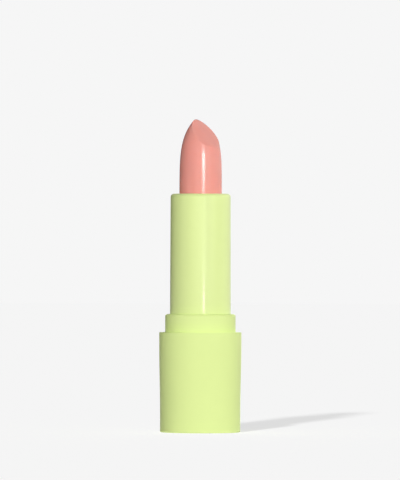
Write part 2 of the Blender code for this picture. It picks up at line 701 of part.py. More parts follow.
def main():
    """Build the lipstick."""
    clear_scene()
    parts = make_collection(PART_COLLECTION)
    cutters = make_collection(CUTTER_COLLECTION)

    lime_satin = make_material("lime_satin", (0.78, 0.93, 0.41), 0.45)
    lime_collar = make_material("lime_collar", (0.77, 0.93, 0.40), 0.42)
    lime_sleeve = make_material("lime_sleeve", (0.79, 0.94, 0.42), 0.3, 0.1)
    pink_wax = make_material("pink_wax", (0.92, 0.37, 0.31), 0.25)
    cup_plastic = make_material("cup_plastic", (0.85, 0.86, 0.84), 0.4)
    guide_plastic = make_material("guide_plastic", (0.88, 0.88, 0.86), 0.4)
    cam_plastic = make_material("cam_plastic", (0.9, 0.9, 0.88), 0.35)
    slug_steel = make_material("slug_steel", (0.55, 0.55, 0.56), 0.35, 1.0)
    brake_rubber = make_material("brake_rubber", (0.05, 0.05, 0.05), 0.8)

    pieces = [
        make_base_shell(parts, lime_satin),
        make_base_weight(parts, slug_steel),
        make_collar_insert(parts, cutters, lime_collar),
        make_inner_body(parts, cutters, guide_plastic),
        make_brake_ring(parts, brake_rubber),
    ]

    cam = make_cam_sleeve(parts, cutters, cam_plastic)
    sleeve = make_outer_sleeve(parts, lime_sleeve)
    cup = make_carrier_cup(parts, cutters, cup_plastic)
    cup.location.z = CUP_RAISED
    bullet = make_bullet(parts, cutters, pink_wax)
    bullet.location.z = BULLET_BOTTOM
    pieces += [cam, sleeve, cup, bullet]

    bpy.context.view_layer.update()
    for piece in pieces:
        settle(piece)

    barrel = make_axis_empty("barrel_axis", BARREL_BOTTOM, parts)
    carrier = make_axis_empty("carrier_axis", CUP_RAISED, parts)
    hang(cam, barrel)
    hang(sleeve, barrel)
    hang(cup, carrier)
    hang(bullet, carrier)


main()
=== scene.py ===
"""Dressed scene of a twist-up lipstick with its cap off, raised to the top of its travel.

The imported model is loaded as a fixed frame. Each of its nodes is replaced by a finer piece of nearly
the same size in the same place, with the fillets, moulding marks and finish of the real one.
Lengths are in metres, +Z runs up the twist axis, and the photograph looks along +Y.
"""

from __future__ import annotations

import logging
import math
from dataclasses import dataclass
from enum import Enum
from typing import Iterable, Sequence

import bmesh
import bpy
from mathutils import Matrix, Vector

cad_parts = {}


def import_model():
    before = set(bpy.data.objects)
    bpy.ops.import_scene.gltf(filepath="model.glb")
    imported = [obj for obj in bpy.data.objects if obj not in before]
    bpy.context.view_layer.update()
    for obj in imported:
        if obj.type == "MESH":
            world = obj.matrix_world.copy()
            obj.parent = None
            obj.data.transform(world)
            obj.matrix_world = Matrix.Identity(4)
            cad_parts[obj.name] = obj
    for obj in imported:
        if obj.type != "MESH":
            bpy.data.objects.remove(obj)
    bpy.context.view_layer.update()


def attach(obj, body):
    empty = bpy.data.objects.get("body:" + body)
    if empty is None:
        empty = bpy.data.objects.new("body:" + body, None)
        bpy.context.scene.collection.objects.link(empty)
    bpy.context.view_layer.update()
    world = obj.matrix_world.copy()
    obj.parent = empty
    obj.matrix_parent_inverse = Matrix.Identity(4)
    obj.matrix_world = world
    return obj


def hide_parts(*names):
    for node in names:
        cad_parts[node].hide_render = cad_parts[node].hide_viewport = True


LOG = logging.getLogger("lipstick")

MM = 0.001
DEGREE = math.pi / 180.0
UP = Vector((0.0, 0.0, 1.0))

Colour = tuple[float, float, float]
Corner = tuple[float, float, float]
Span = tuple[float, float]

BLACK = (0.0, 0.0, 0.0, 1.0)
WHITE = (1.0, 1.0, 1.0, 1.0)


class Operation(Enum):
    """What a tool solid does to the piece that it meets."""

    CUT = "DIFFERENCE"
    JOIN = "UNION"


class Grain(Enum):
    """The way that a surface's fine marks run on a turned piece."""

    EVEN = "even"
    AROUND = "around"


class LampUse(Enum):
    """What a lamp is for: to light the pieces' own colours, or to show in their gloss."""

    COLOUR = "colour"
    SHEEN = "sheen"


class Body(Enum):
    """The rigid groups of the frame."""

    BASE = "base"
    BARREL = "barrel"
    CARRIER = "carrier"


def round_headings(count: int, shift: float = 0.0) -> list[float]:
    """Give even headings round the Z axis, the first of them shifted from +X by a share of a step."""
    return [math.tau * (index + shift) / count for index in range(count)]


def direction(heading: float, elevation: float) -> Vector:
    """Give the unit vector to a lamp, its heading counted from the camera's side to the right."""
    flat = math.cos(elevation)
    return Vector((math.sin(heading) * flat, -math.cos(heading) * flat, math.sin(elevation)))


@dataclass(frozen=True)
class Fits:
    """Sizes shared by pieces that fit in or on each other, worked outwards from the bullet."""

    bullet_radius: float = 6.06 * MM
    running: float = 0.08 * MM
    press: float = 0.12 * MM
    seat: float = 0.30 * MM
    lug_play: float = 0.12 * MM
    snap_play: float = 0.10 * MM
    cup_wall: float = 0.50 * MM
    guide_wall: float = 0.50 * MM
    cam_wall: float = 0.82 * MM
    groove_share: float = 0.62
    sleeve_wall: float = 0.36 * MM
    sleeve_draft: float = 0.12 * MM
    collar_play: float = 0.20 * MM
    collar_wall: float = 1.15 * MM
    base_wall: float = 1.55 * MM
    base_height: float = 28.5 * MM
    base_floor: float = 1.4 * MM
    collar_height: float = 5.2 * MM
    bore_depth: float = 9.0 * MM
    flange_thickness: float = 1.2 * MM
    neck_height: float = 2.5 * MM
    ring_radius: float = 0.33 * MM
    ring_inset: float = 0.75 * MM
    snap_lip: float = 0.30 * MM
    bead_rise: float = 0.25 * MM
    bead_width: float = 0.50 * MM
    travel: float = 24.0 * MM
    lead: float = 18.0 * MM
    cup_height: float = 13.5 * MM
    cup_floor: float = 1.0 * MM
    cup_recess: float = 1.5 * MM
    sleeve_lip: float = 0.45 * MM
    lug_radius: float = 0.9 * MM
    lug_height: float = 2.5 * MM
    lug_count: int = 2
    join_share: float = 0.5

    @property
    def cup_bore(self) -> float:
        """Radius of the cup's bore."""
        return self.bullet_radius + self.running

    @property
    def cup_radius(self) -> float:
        """Outer radius of the cup."""
        return self.cup_bore + self.cup_wall

    @property
    def guide_bore(self) -> float:
        """Radius of the guide tube's bore."""
        return self.cup_radius + self.running

    @property
    def guide_radius(self) -> float:
        """Outer radius of the guide tube."""
        return self.guide_bore + self.guide_wall

    @property
    def cam_bore(self) -> float:
        """Radius of the cam's bore."""
        return self.guide_radius + self.running

    @property
    def cam_radius(self) -> float:
        """Outer radius of the cam."""
        return self.cam_bore + self.cam_wall

    @property
    def groove_radius(self) -> float:
        """Radius of the spiral grooves' floor."""
        return self.cam_bore + self.cam_wall * self.groove_share

    @property
    def sleeve_bore(self) -> float:
        """Radius inside the sleeve, under its rim."""
        return self.cam_radius + self.running

    @property
    def sleeve_top_radius(self) -> float:
        """Outer radius of the sleeve at its rim."""
        return self.sleeve_bore + self.sleeve_wall

    @property
    def sleeve_foot_radius(self) -> float:
        """Outer radius of the sleeve at its lower end."""
        return self.sleeve_top_radius + self.sleeve_draft

    @property
    def collar_bore(self) -> float:
        """Radius of the collar's bore."""
        return self.sleeve_foot_radius + self.collar_play

    @property
    def collar_radius(self) -> float:
        """Outer radius of the collar."""
        return self.collar_bore + self.collar_wall

    @property
    def shell_bore(self) -> float:
        """Radius of the base shell's bore."""
        return self.collar_radius + self.press

    @property
    def base_radius(self) -> float:
        """Outer radius of the base shell at its shoulder."""
        return self.shell_bore + self.base_wall

    @property
    def collar_top(self) -> float:
        """Height of the collar's top."""
        return self.base_height + self.collar_height

    @property
    def flange_seat(self) -> float:
        """Height of the ledge that the guide's flange sits on."""
        return self.collar_top - self.bore_depth

    @property
    def flange_bottom(self) -> float:
        """Height of the flange's underside."""
        return self.flange_seat + self.seat

    @property
    def flange_top(self) -> float:
        """Height of the flange's top."""
        return self.flange_bottom + self.flange_thickness

    @property
    def barrel_bottom(self) -> float:
        """Height of the barrel's lower end."""
        return self.flange_top + self.seat

    @property
    def ring_level(self) -> float:
        """Height of the brake ring's middle."""
        return self.barrel_bottom + self.ring_inset

    @property
    def counterbore_top(self) -> float:
        """Height at which the cam's counterbore ends."""
        return self.ring_level + self.ring_radius + self.snap_play

    @property
    def bead_bottom(self) -> float:
        """Height of the snap bead's underside."""
        return self.counterbore_top + self.snap_lip + self.snap_play

    @property
    def stop_ledge(self) -> float:
        """Height of the ledge that stops the lowered cup."""
        return self.flange_top + self.neck_height

    @property
    def cup_lowered(self) -> float:
        """Height of the cup's bottom when it is down."""
        return self.stop_ledge + self.seat

    @property
    def cup_raised(self) -> float:
        """Height of the cup's bottom when it is up."""
        return self.cup_lowered + self.travel

    @property
    def rim(self) -> float:
        """Height of the sleeve's rim."""
        return self.cup_raised + self.cup_height + self.cup_recess

    @property
    def tube_top(self) -> float:
        """Height of the guide's and the cam's top ends."""
        return self.rim - self.sleeve_lip - self.seat

    @property
    def lug_raised(self) -> float:
        """Height of the lugs' axis when the cup is up."""
        return self.cup_raised + self.lug_height

    @property
    def lug_lowered(self) -> float:
        """Height of the lugs' axis when the cup is down."""
        return self.cup_lowered + self.lug_height

    @property
    def twist_range(self) -> float:
        """Angle that the barrel turns through for the whole travel."""
        return math.tau * self.travel / self.lead

    @property
    def ring_centre_radius(self) -> float:
        """Radius of the circle that the brake ring's section lies on."""
        return self.groove_radius - self.running - self.ring_radius


class Workshop:
    """Makes meshes with Blender's own tools, and collapses them to finished pieces."""

    segments: int = 192
    arc_steps: int = 8
    tool_sides: int = 32
    sharp_angle: float = 32.0 * DEGREE
    merge: float = 0.001 * MM
    overrun: float = 1.0 * MM

    @classmethod
    def rounded(cls, corners: Sequence[Corner], closed: bool = False) -> list[Vector]:
        """Round the corners of a profile.

        Args:
            corners: (radius, height, fillet) of each corner.
            closed: whether the last corner joins the first.

        Returns:
            The profile's points as (radius, height) vectors.
        """
        points: list[Vector] = []
        for index, (radius, height, fillet) in enumerate(corners):
            corner = Vector((radius, height))
            if fillet == 0 or (not closed and index in (0, len(corners) - 1)):
                points.append(corner)
                continue
            before = (Vector(corners[index - 1][:2]) - corner).normalized()
            after = (Vector(corners[(index + 1) % len(corners)][:2]) - corner).normalized()
            half = before.angle(after) / 2
            centre = corner + (before + after).normalized() * (fillet / math.sin(half))
            start = corner + before * (fillet / math.tan(half)) - centre
            end = corner + after * (fillet / math.tan(half)) - centre
            sweep = math.pi - 2 * half
            for step in range(cls.arc_steps + 1):
                share = step / cls.arc_steps
                ahead = end * math.sin(share * sweep)
                behind = start * math.sin((1 - share) * sweep)
                points.append(centre + (ahead + behind) / math.sin(sweep))
        return points

    @classmethod
    def turned(cls, name: str, points: Iterable[Vector], closed: bool = False) -> bpy.types.Object:
        """Sweep a profile round the Z axis.

        Args:
            name: name of the new object.
            points: (radius, height) points, down the outer side first.
            closed: whether the last point joins the first.

        Returns:
            The object, with its Screw modifier still on it.
        """
        outline = [(point[0], 0.0, point[1]) for point in points]
        edges = [(index, index + 1) for index in range(len(outline) - 1)]
        if closed:
            edges.append((len(outline) - 1, 0))
        mesh = bpy.data.meshes.new(name)
        mesh.from_pydata(outline, edges, [])
        piece = cls.linked(name, mesh)
        screw = piece.modifiers.new("turn", "SCREW")
        screw.axis = "Z"
        screw.steps = cls.segments
        screw.render_steps = cls.segments
        screw.use_merge_vertices = True
        screw.merge_threshold = cls.merge
        return piece

    @classmethod
    def lofted(cls, name: str, sections: Sequence[Sequence[Vector]]) -> bpy.types.Object:
        """Skin half sections that stand round the Z axis at even headings, the first at +X.

        Args:
            name: name of the new object.
            sections: each one's (radius, height) points, from the axis at the top to the axis at the foot.

        Returns:
            The object.
        """
        shape = bmesh.new()
        top = shape.verts.new((0.0, 0.0, sections[0][0][1]))
        foot = shape.verts.new((0.0, 0.0, sections[0][-1][1]))
        columns = []
        for index, section in enumerate(sections):
            turn = Matrix.Rotation(math.tau * index / len(sections), 3, "Z")
            points = [turn @ Vector((point[0], 0.0, point[1])) for point in section[1:-1]]
            columns.append([shape.verts.new(point) for point in points])
        for index, column in enumerate(columns):
            following = columns[(index + 1) % len(columns)]
            shape.faces.new((top, column[0], following[0]))
            shape.faces.new((foot, following[-1], column[-1]))
            for row in range(len(column) - 1):
                shape.faces.new((column[row], column[row + 1], following[row + 1], following[row]))
        return cls.from_bmesh(name, shape)

    @staticmethod
    def linked(name: str, mesh: bpy.types.Mesh) -> bpy.types.Object:
        """Link a mesh to the scene.

        Args:
            name: name of the new object.
            mesh: its mesh.

        Returns:
            The object.
        """
        piece = bpy.data.objects.new(name, mesh)
        bpy.context.scene.collection.objects.link(piece)
        return piece

    @classmethod
    def from_bmesh(cls, name: str, shape: bmesh.types.BMesh) -> bpy.types.Object:
        """Turn a bmesh into an object and free it.

        Args:
            name: name of the new object.
            shape: the bmesh.

        Returns:
            The object.
        """
        mesh = bpy.data.meshes.new(name)
        shape.to_mesh(mesh)
        shape.free()
        return cls.linked(name, mesh)

    @classmethod
    def box(cls, size: Sequence[float], centre: Sequence[float], heading: float) -> bpy.types.Object:
        """Make a box tool whose X side points along a heading round the Z axis.

        Args:
            size: its sides.
            centre: its middle, before it is turned to the heading.
            heading: angle from +X.

        Returns:
            The tool.
        """
        shape = bmesh.new()
        bmesh.ops.create_cube(shape, size=1.0)
        bmesh.ops.scale(shape, vec=size, verts=shape.verts)
        bmesh.ops.translate(shape, vec=centre, verts=shape.verts)
        turn = Matrix.Rotation(heading, 3, "Z")
        bmesh.ops.rotate(shape, matrix=turn, verts=shape.verts)
        return cls.from_bmesh("box_tool", shape)

    @classmethod
    def bar(
        cls, radius: float, start: float, end: float, heights: Span, heading: float
    ) -> bpy.types.Object:
        """Make a round-ended bar tool that lies along a heading.

        Args:
            radius: half its width.
            start: where it begins along the heading, from the Z axis.
            end: where it ends along the heading.
            heights: heights of its lower and upper round ends' axes.
            heading: angle from +X.

        Returns:
            The tool.
        """
        half_side = math.pi / cls.tool_sides
        corner_radius = radius / math.cos(half_side)
        shape = bmesh.new()
        bmesh.ops.create_cone(
            shape,
            cap_ends=True,
            segments=cls.tool_sides,
            radius1=corner_radius,
            radius2=corner_radius,
            depth=end - start,
            matrix=Matrix.Rotation(half_side, 4, "Z"),
        )
        lay_down = Matrix.Rotation(math.pi / 2, 3, "Y")
        bmesh.ops.rotate(shape, matrix=lay_down, verts=shape.verts)
        for vert in shape.verts:
            vert.co.z += heights[1] if vert.co.z > 0 else heights[0]
            vert.co.x += (start + end) / 2
        turn = Matrix.Rotation(heading, 3, "Z")
        bmesh.ops.rotate(shape, matrix=turn, verts=shape.verts)
        return cls.from_bmesh("bar_tool", shape)

    @classmethod
    def combine(cls, piece: bpy.types.Object, tool: bpy.types.Object, operation: Operation) -> None:
        """Cut a piece with a tool or join the tool to it, then throw the tool away.

        Args:
            piece: the object that changes.
            tool: the closed solid that changes it.
            operation: what the tool does.
        """
        change = piece.modifiers.new("combine", "BOOLEAN")
        change.operation = operation.value
        change.solver = "EXACT"
        change.object = tool
        cls.collapse(piece)
        mesh = tool.data
        bpy.data.objects.remove(tool)
        bpy.data.meshes.remove(mesh)

    @classmethod
    def ribs(
        cls,
        piece: bpy.types.Object,
        radii: Span,
        heights: Span,
        width: float,
        headings: Iterable[float],
        operation: Operation,
    ) -> None:
        """Join upright ribs to a piece, or cut their shape out of it.

        Args:
            piece: the object that changes.
            radii: how far from the Z axis a rib begins and ends.
            heights: heights of its bottom and top.
            width: its width.
            headings: the heading of each rib.
            operation: whether the ribs are joined or cut.
        """
        size = (radii[1] - radii[0], width, heights[1] - heights[0])
        centre = ((radii[1] + radii[0]) / 2, 0.0, (heights[1] + heights[0]) / 2)
        for heading in headings:
            cls.combine(piece, cls.box(size, centre, heading), operation)

    @classmethod
    def collapse(cls, piece: bpy.types.Object) -> None:
        """Replace a piece's modifiers by their result, without doubled points.

        Args:
            piece: the object that changes.
        """
        bpy.context.view_layer.update()
        depsgraph = bpy.context.evaluated_depsgraph_get()
        mesh = bpy.data.meshes.new_from_object(piece.evaluated_get(depsgraph))
        shape = bmesh.new()
        shape.from_mesh(mesh)
        bmesh.ops.remove_doubles(shape, verts=shape.verts, dist=cls.merge)
        bmesh.ops.dissolve_degenerate(shape, edges=shape.edges, dist=cls.merge)
        shape.to_mesh(mesh)
        shape.free()
        old = piece.data
        piece.modifiers.clear()
        piece.data = mesh
        bpy.data.meshes.remove(old)
        mesh.name = piece.name

    @classmethod
    def finish(cls, piece: bpy.types.Object) -> bpy.types.Object:
        """Collapse a piece and shade it smooth between its sharp edges.

        Args:
            piece: the object that changes.

        Returns:
            The same object.
        """
        cls.collapse(piece)
        piece.data.shade_smooth()
        piece.data.set_sharp_from_angle(angle=cls.sharp_angle)
        return piece


class Graph:
    """A node tree, with short calls for the nodes that the finishes and the studio use."""

    def __init__(self, owner: bpy.types.Material | bpy.types.World) -> None:
        """Switch on the nodes of a material or a world.

        Args:
            owner: what the tree belongs to.
        """
        owner.use_nodes = True
        self.owner = owner
        self.tree = owner.node_tree

    @property
    def shader(self) -> bpy.types.Node:
        """The Principled shader that a new material starts with."""
        return self.tree.nodes["Principled BSDF"]

    def node(self, kind: str, **settings: object) -> bpy.types.Node:
        """Add a node.

        Args:
            kind: its class name in Blender.
            **settings: attributes to set on it.

        Returns:
            The node.
        """
        made = self.tree.nodes.new(kind)
        for key, value in settings.items():
            setattr(made, key, value)
        return made

    def link(self, source: bpy.types.NodeSocket, target: bpy.types.NodeSocket) -> None:
        """Join an output to an input."""
        self.tree.links.new(source, target)

    def fix(self, name: str, value: object) -> None:
        """Set an input of the shader to the same value all over the surface."""
        self.shader.inputs[name].default_value = value

    def maths(self, operation: str, first: object, second: object = None) -> bpy.types.NodeSocket:
        """Add a Math node.

        Args:
            operation: its operation.
            first: a socket or a number.
            second: a socket, a number or nothing.

        Returns:
            Its output.
        """
        made = self.node("ShaderNodeMath", operation=operation)
        for index, value in enumerate((first, second)):
            if isinstance(value, bpy.types.NodeSocket):
                self.link(value, made.inputs[index])
            elif value is not None:
                made.inputs[index].default_value = value
        return made.outputs[0]

    def coordinates(self, grain: Grain) -> bpy.types.NodeSocket:
        """Give the coordinates that fine marks are read at.

        Args:
            grain: the way that the marks run.

        Returns:
            A vector socket in metres.
        """
        spot = self.node("ShaderNodeTexCoord").outputs["Object"]
        if grain is Grain.EVEN:
            return spot
        split = self.node("ShaderNodeSeparateXYZ")
        self.link(spot, split.inputs[0])
        across = self.maths("MULTIPLY", split.outputs["X"], split.outputs["X"])
        deep = self.maths("MULTIPLY", split.outputs["Y"], split.outputs["Y"])
        radius = self.maths("SQRT", self.maths("ADD", across, deep))
        joined = self.node("ShaderNodeCombineXYZ")
        self.link(radius, joined.inputs["X"])
        self.link(split.outputs["Z"], joined.inputs["Z"])
        return joined.outputs[0]

    def noise(self, spot: bpy.types.NodeSocket, size: float, layers: float) -> bpy.types.NodeSocket:
        """Add a noise texture.

        Args:
            spot: the coordinates to read it at.
            size: the size of its marks.
            layers: how many finer layers it has.

        Returns:
            Its value, from 0 to 1.
        """
        made = self.node("ShaderNodeTexNoise")
        made.inputs["Scale"].default_value = 1.0 / size
        made.inputs["Detail"].default_value = layers
        self.link(spot, made.inputs["Vector"])
        return made.outputs["Fac"]

    def remap(self, value: bpy.types.NodeSocket, span: Span, to: Span) -> bpy.types.NodeSocket:
        """Map one span of a value to another.

        Args:
            value: the value.
            span: the span that is read.
            to: the span that it becomes.

        Returns:
            The mapped value.
        """
        made = self.node("ShaderNodeMapRange")
        self.link(value, made.inputs["Value"])
        made.inputs["From Min"].default_value = span[0]
        made.inputs["From Max"].default_value = span[1]
        made.inputs["To Min"].default_value = to[0]
        made.inputs["To Max"].default_value = to[1]
        return made.outputs["Result"]

    def blend(self, share: bpy.types.NodeSocket, low: Colour, high: Colour) -> bpy.types.NodeSocket:
        """Mix two colours.

        Args:
            share: how much of the second colour there is.
            low: the first colour.
            high: the second colour.

        Returns:
            The mixed colour.
        """
        made = self.node("ShaderNodeMix", data_type="RGBA")
        self.link(share, made.inputs["Factor"])
        made.inputs["A"].default_value = (*low, 1.0)
        made.inputs["B"].default_value = (*high, 1.0)
        return made.outputs["Result"]

    def bump(
        self, height: bpy.types.NodeSocket, depth: float, under: bpy.types.NodeSocket | None = None
    ) -> bpy.types.NodeSocket:
        """Add a bump layer.

        Args:
            height: relief from 0 to 1.
            depth: real depth of the relief.
            under: the bump that this one lies on.

        Returns:
            A normal socket.
        """
        made = self.node("ShaderNodeBump")
        made.inputs["Distance"].default_value = depth
        self.link(height, made.inputs["Height"])
        if under is not None:
            self.link(under, made.inputs["Normal"])
        return made.outputs["Normal"]

    def shown(self, level: float) -> bpy.types.NodeSocket:
        """Make a strength that shows directly and in gloss and glass, and lights nothing else.

        Args:
            level: how strong it is where it shows.

        Returns:
            The level for camera, glossy and transmission rays, and 0 for the others.
        """
        rays = self.node("ShaderNodeLightPath").outputs
        either = self.maths("MAXIMUM", rays["Is Camera Ray"], rays["Is Glossy Ray"])
        any_of_them = self.maths("MAXIMUM", either, rays["Is Transmission Ray"])
        return self.maths("MULTIPLY", any_of_them, level)


@dataclass(frozen=True)
class Finish:
    """A surface with slow colour drift, uneven gloss and a fine grain.

    Each of the three is a noise with its own size and its own number of finer layers.
    """

    name: str
    colour: Colour
    roughness: float
    metallic: float = 0.0
    specular: float = 0.5
    drift: float = 0.02
    drift_size: float = 6.0 * MM
    gloss_size: float = 4.0 * MM
    unevenness: float = 0.02
    grain: Grain = Grain.EVEN
    grain_size: float = 0.25 * MM
    grain_depth: float = 0.002 * MM
    drift_layers: float = 3.0
    gloss_layers: float = 1.0
    grain_layers: float = 2.0

    def shades(self) -> tuple[Colour, Colour]:
        """Work out how far the colour drifts.

        Returns:
            The darker and the lighter end of the drift.
        """
        low = tuple(channel * (1 - self.drift) for channel in self.colour)
        high = tuple(min(channel * (1 + self.drift), 1.0) for channel in self.colour)
        return low, high

    def dress(self, graph: Graph) -> None:
        """Add what only one kind of finish has, which for a plain one is nothing."""

    def material(self) -> bpy.types.Material:
        """Build the material.

        Returns:
            The material.
        """
        graph = Graph(bpy.data.materials.new(self.name))
        inputs = graph.shader.inputs
        graph.fix("Metallic", self.metallic)
        graph.fix("Specular IOR Level", self.specular)
        even = graph.coordinates(Grain.EVEN)
        drift = graph.noise(even, self.drift_size, self.drift_layers)
        graph.link(graph.blend(drift, *self.shades()), inputs["Base Color"])
        gloss = graph.noise(even, self.gloss_size, self.gloss_layers)
        rough = (self.roughness - self.unevenness, self.roughness + self.unevenness)
        graph.link(graph.remap(gloss, (0.0, 1.0), rough), inputs["Roughness"])
        marks = graph.noise(graph.coordinates(self.grain), self.grain_size, self.grain_layers)
        graph.link(graph.bump(marks, self.grain_depth), inputs["Normal"])
        self.dress(graph)
        return graph.owner


@dataclass(frozen=True)
class Wax(Finish):
    """Lipstick mass: light goes a little way in, and the skin has flow lines and pinholes.

    The depth's shares are those of red, green and blue light. The pinholes' shares give the floor and
    the brim of each, as parts of their spacing.
    """

    depth: float = 0.5 * MM
    depth_shares: Colour = (1.0, 0.35, 0.25)
    inside: float = 0.25
    flow_size: float = 0.9 * MM
    flow_depth: float = 0.004 * MM
    flow_layers: float = 3.0
    pinhole_spacing: float = 1.6 * MM
    pinhole_depth: float = 0.015 * MM
    pinhole_shares: Span = (0.02, 0.06)

    def dress(self, graph: Graph) -> None:
        """Add the light inside, the flow lines and the pinholes.

        Args:
            graph: the material's node tree.
        """
        graph.fix("Subsurface Weight", self.inside)
        graph.fix("Subsurface Radius", self.depth_shares)
        graph.fix("Subsurface Scale", self.depth)
        normal = graph.shader.inputs["Normal"]
        base = normal.links[0].from_socket
        flow = graph.noise(graph.coordinates(Grain.AROUND), self.flow_size, self.flow_layers)
        layered = graph.bump(flow, self.flow_depth, base)
        holes = graph.node("ShaderNodeTexVoronoi")
        holes.inputs["Scale"].default_value = 1.0 / self.pinhole_spacing
        graph.link(graph.coordinates(Grain.EVEN), holes.inputs["Vector"])
        pits = graph.remap(holes.outputs["Distance"], self.pinhole_shares, (0.0, 1.0))
        graph.link(graph.bump(pits, self.pinhole_depth, layered), normal)


@dataclass(frozen=True)
class Lacquer(Finish):
    """Sprayed satin lacquer: a soft peel, and where it is asked for a thin smoother coat over it."""

    peel_size: float = 0.9 * MM
    peel_depth: float = 0.003 * MM
    peel_layers: float = 1.0
    coat: float = 0.0
    coat_roughness: float = 0.3

    def dress(self, graph: Graph) -> None:
        """Add the peel and the coat.

        Args:
            graph: the material's node tree.
        """
        graph.fix("Coat Weight", self.coat)
        graph.fix("Coat Roughness", self.coat_roughness)
        normal = graph.shader.inputs["Normal"]
        base = normal.links[0].from_socket
        peel = graph.noise(graph.coordinates(Grain.EVEN), self.peel_size, self.peel_layers)
        graph.link(graph.bump(peel, self.peel_depth, base), normal)


LIME = (0.796, 0.935, 0.367)

BASE_LACQUER = Lacquer("lime_satin_base", LIME, 0.46, specular=0.08, drift=0.012)
COLLAR_LACQUER = Lacquer("lime_satin_collar", LIME, 0.44, specular=0.08, drift=0.012)
SLEEVE_LACQUER = Lacquer(
    "lime_sleeve", (0.75, 0.87, 0.352), 0.3, specular=0.2, drift=0.012, coat=0.15, coat_roughness=0.11
)
PINK_WAX = Wax("pink_wax", (0.858, 0.34, 0.281), 0.2, specular=0.24, drift=0.03)
CUP_PLASTIC = Finish("cup_plastic", (0.80, 0.88, 0.46), 0.35)
GUIDE_PLASTIC = Finish("guide_plastic", (0.84, 0.85, 0.80), 0.38)
CAM_PLASTIC = Finish("cam_plastic", (0.88, 0.88, 0.85), 0.33)
SLUG_STEEL = Finish(
    "slug_steel", (0.56, 0.57, 0.58), 0.35, metallic=1.0, grain=Grain.AROUND, grain_depth=0.006 * MM
)
BRAKE_RUBBER = Finish("brake_rubber", (0.035, 0.035, 0.035), 0.7, grain_depth=0.006 * MM)


def place(piece: bpy.types.Object, node: str, body: Body, finish: Finish) -> None:
    """Put a finished piece in the frame in the place of its node.

    Args:
        piece: the piece.
        node: the node that it stands for, which is hidden in its place.
        body: the body that it moves with.
        finish: its surface.
    """
    piece.data.materials.clear()
    piece.data.materials.append(finish.material())
    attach(piece, body.value)
    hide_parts(node)
    LOG.info("%s: %d faces on %s", piece.name, len(piece.data.polygons), body.value)


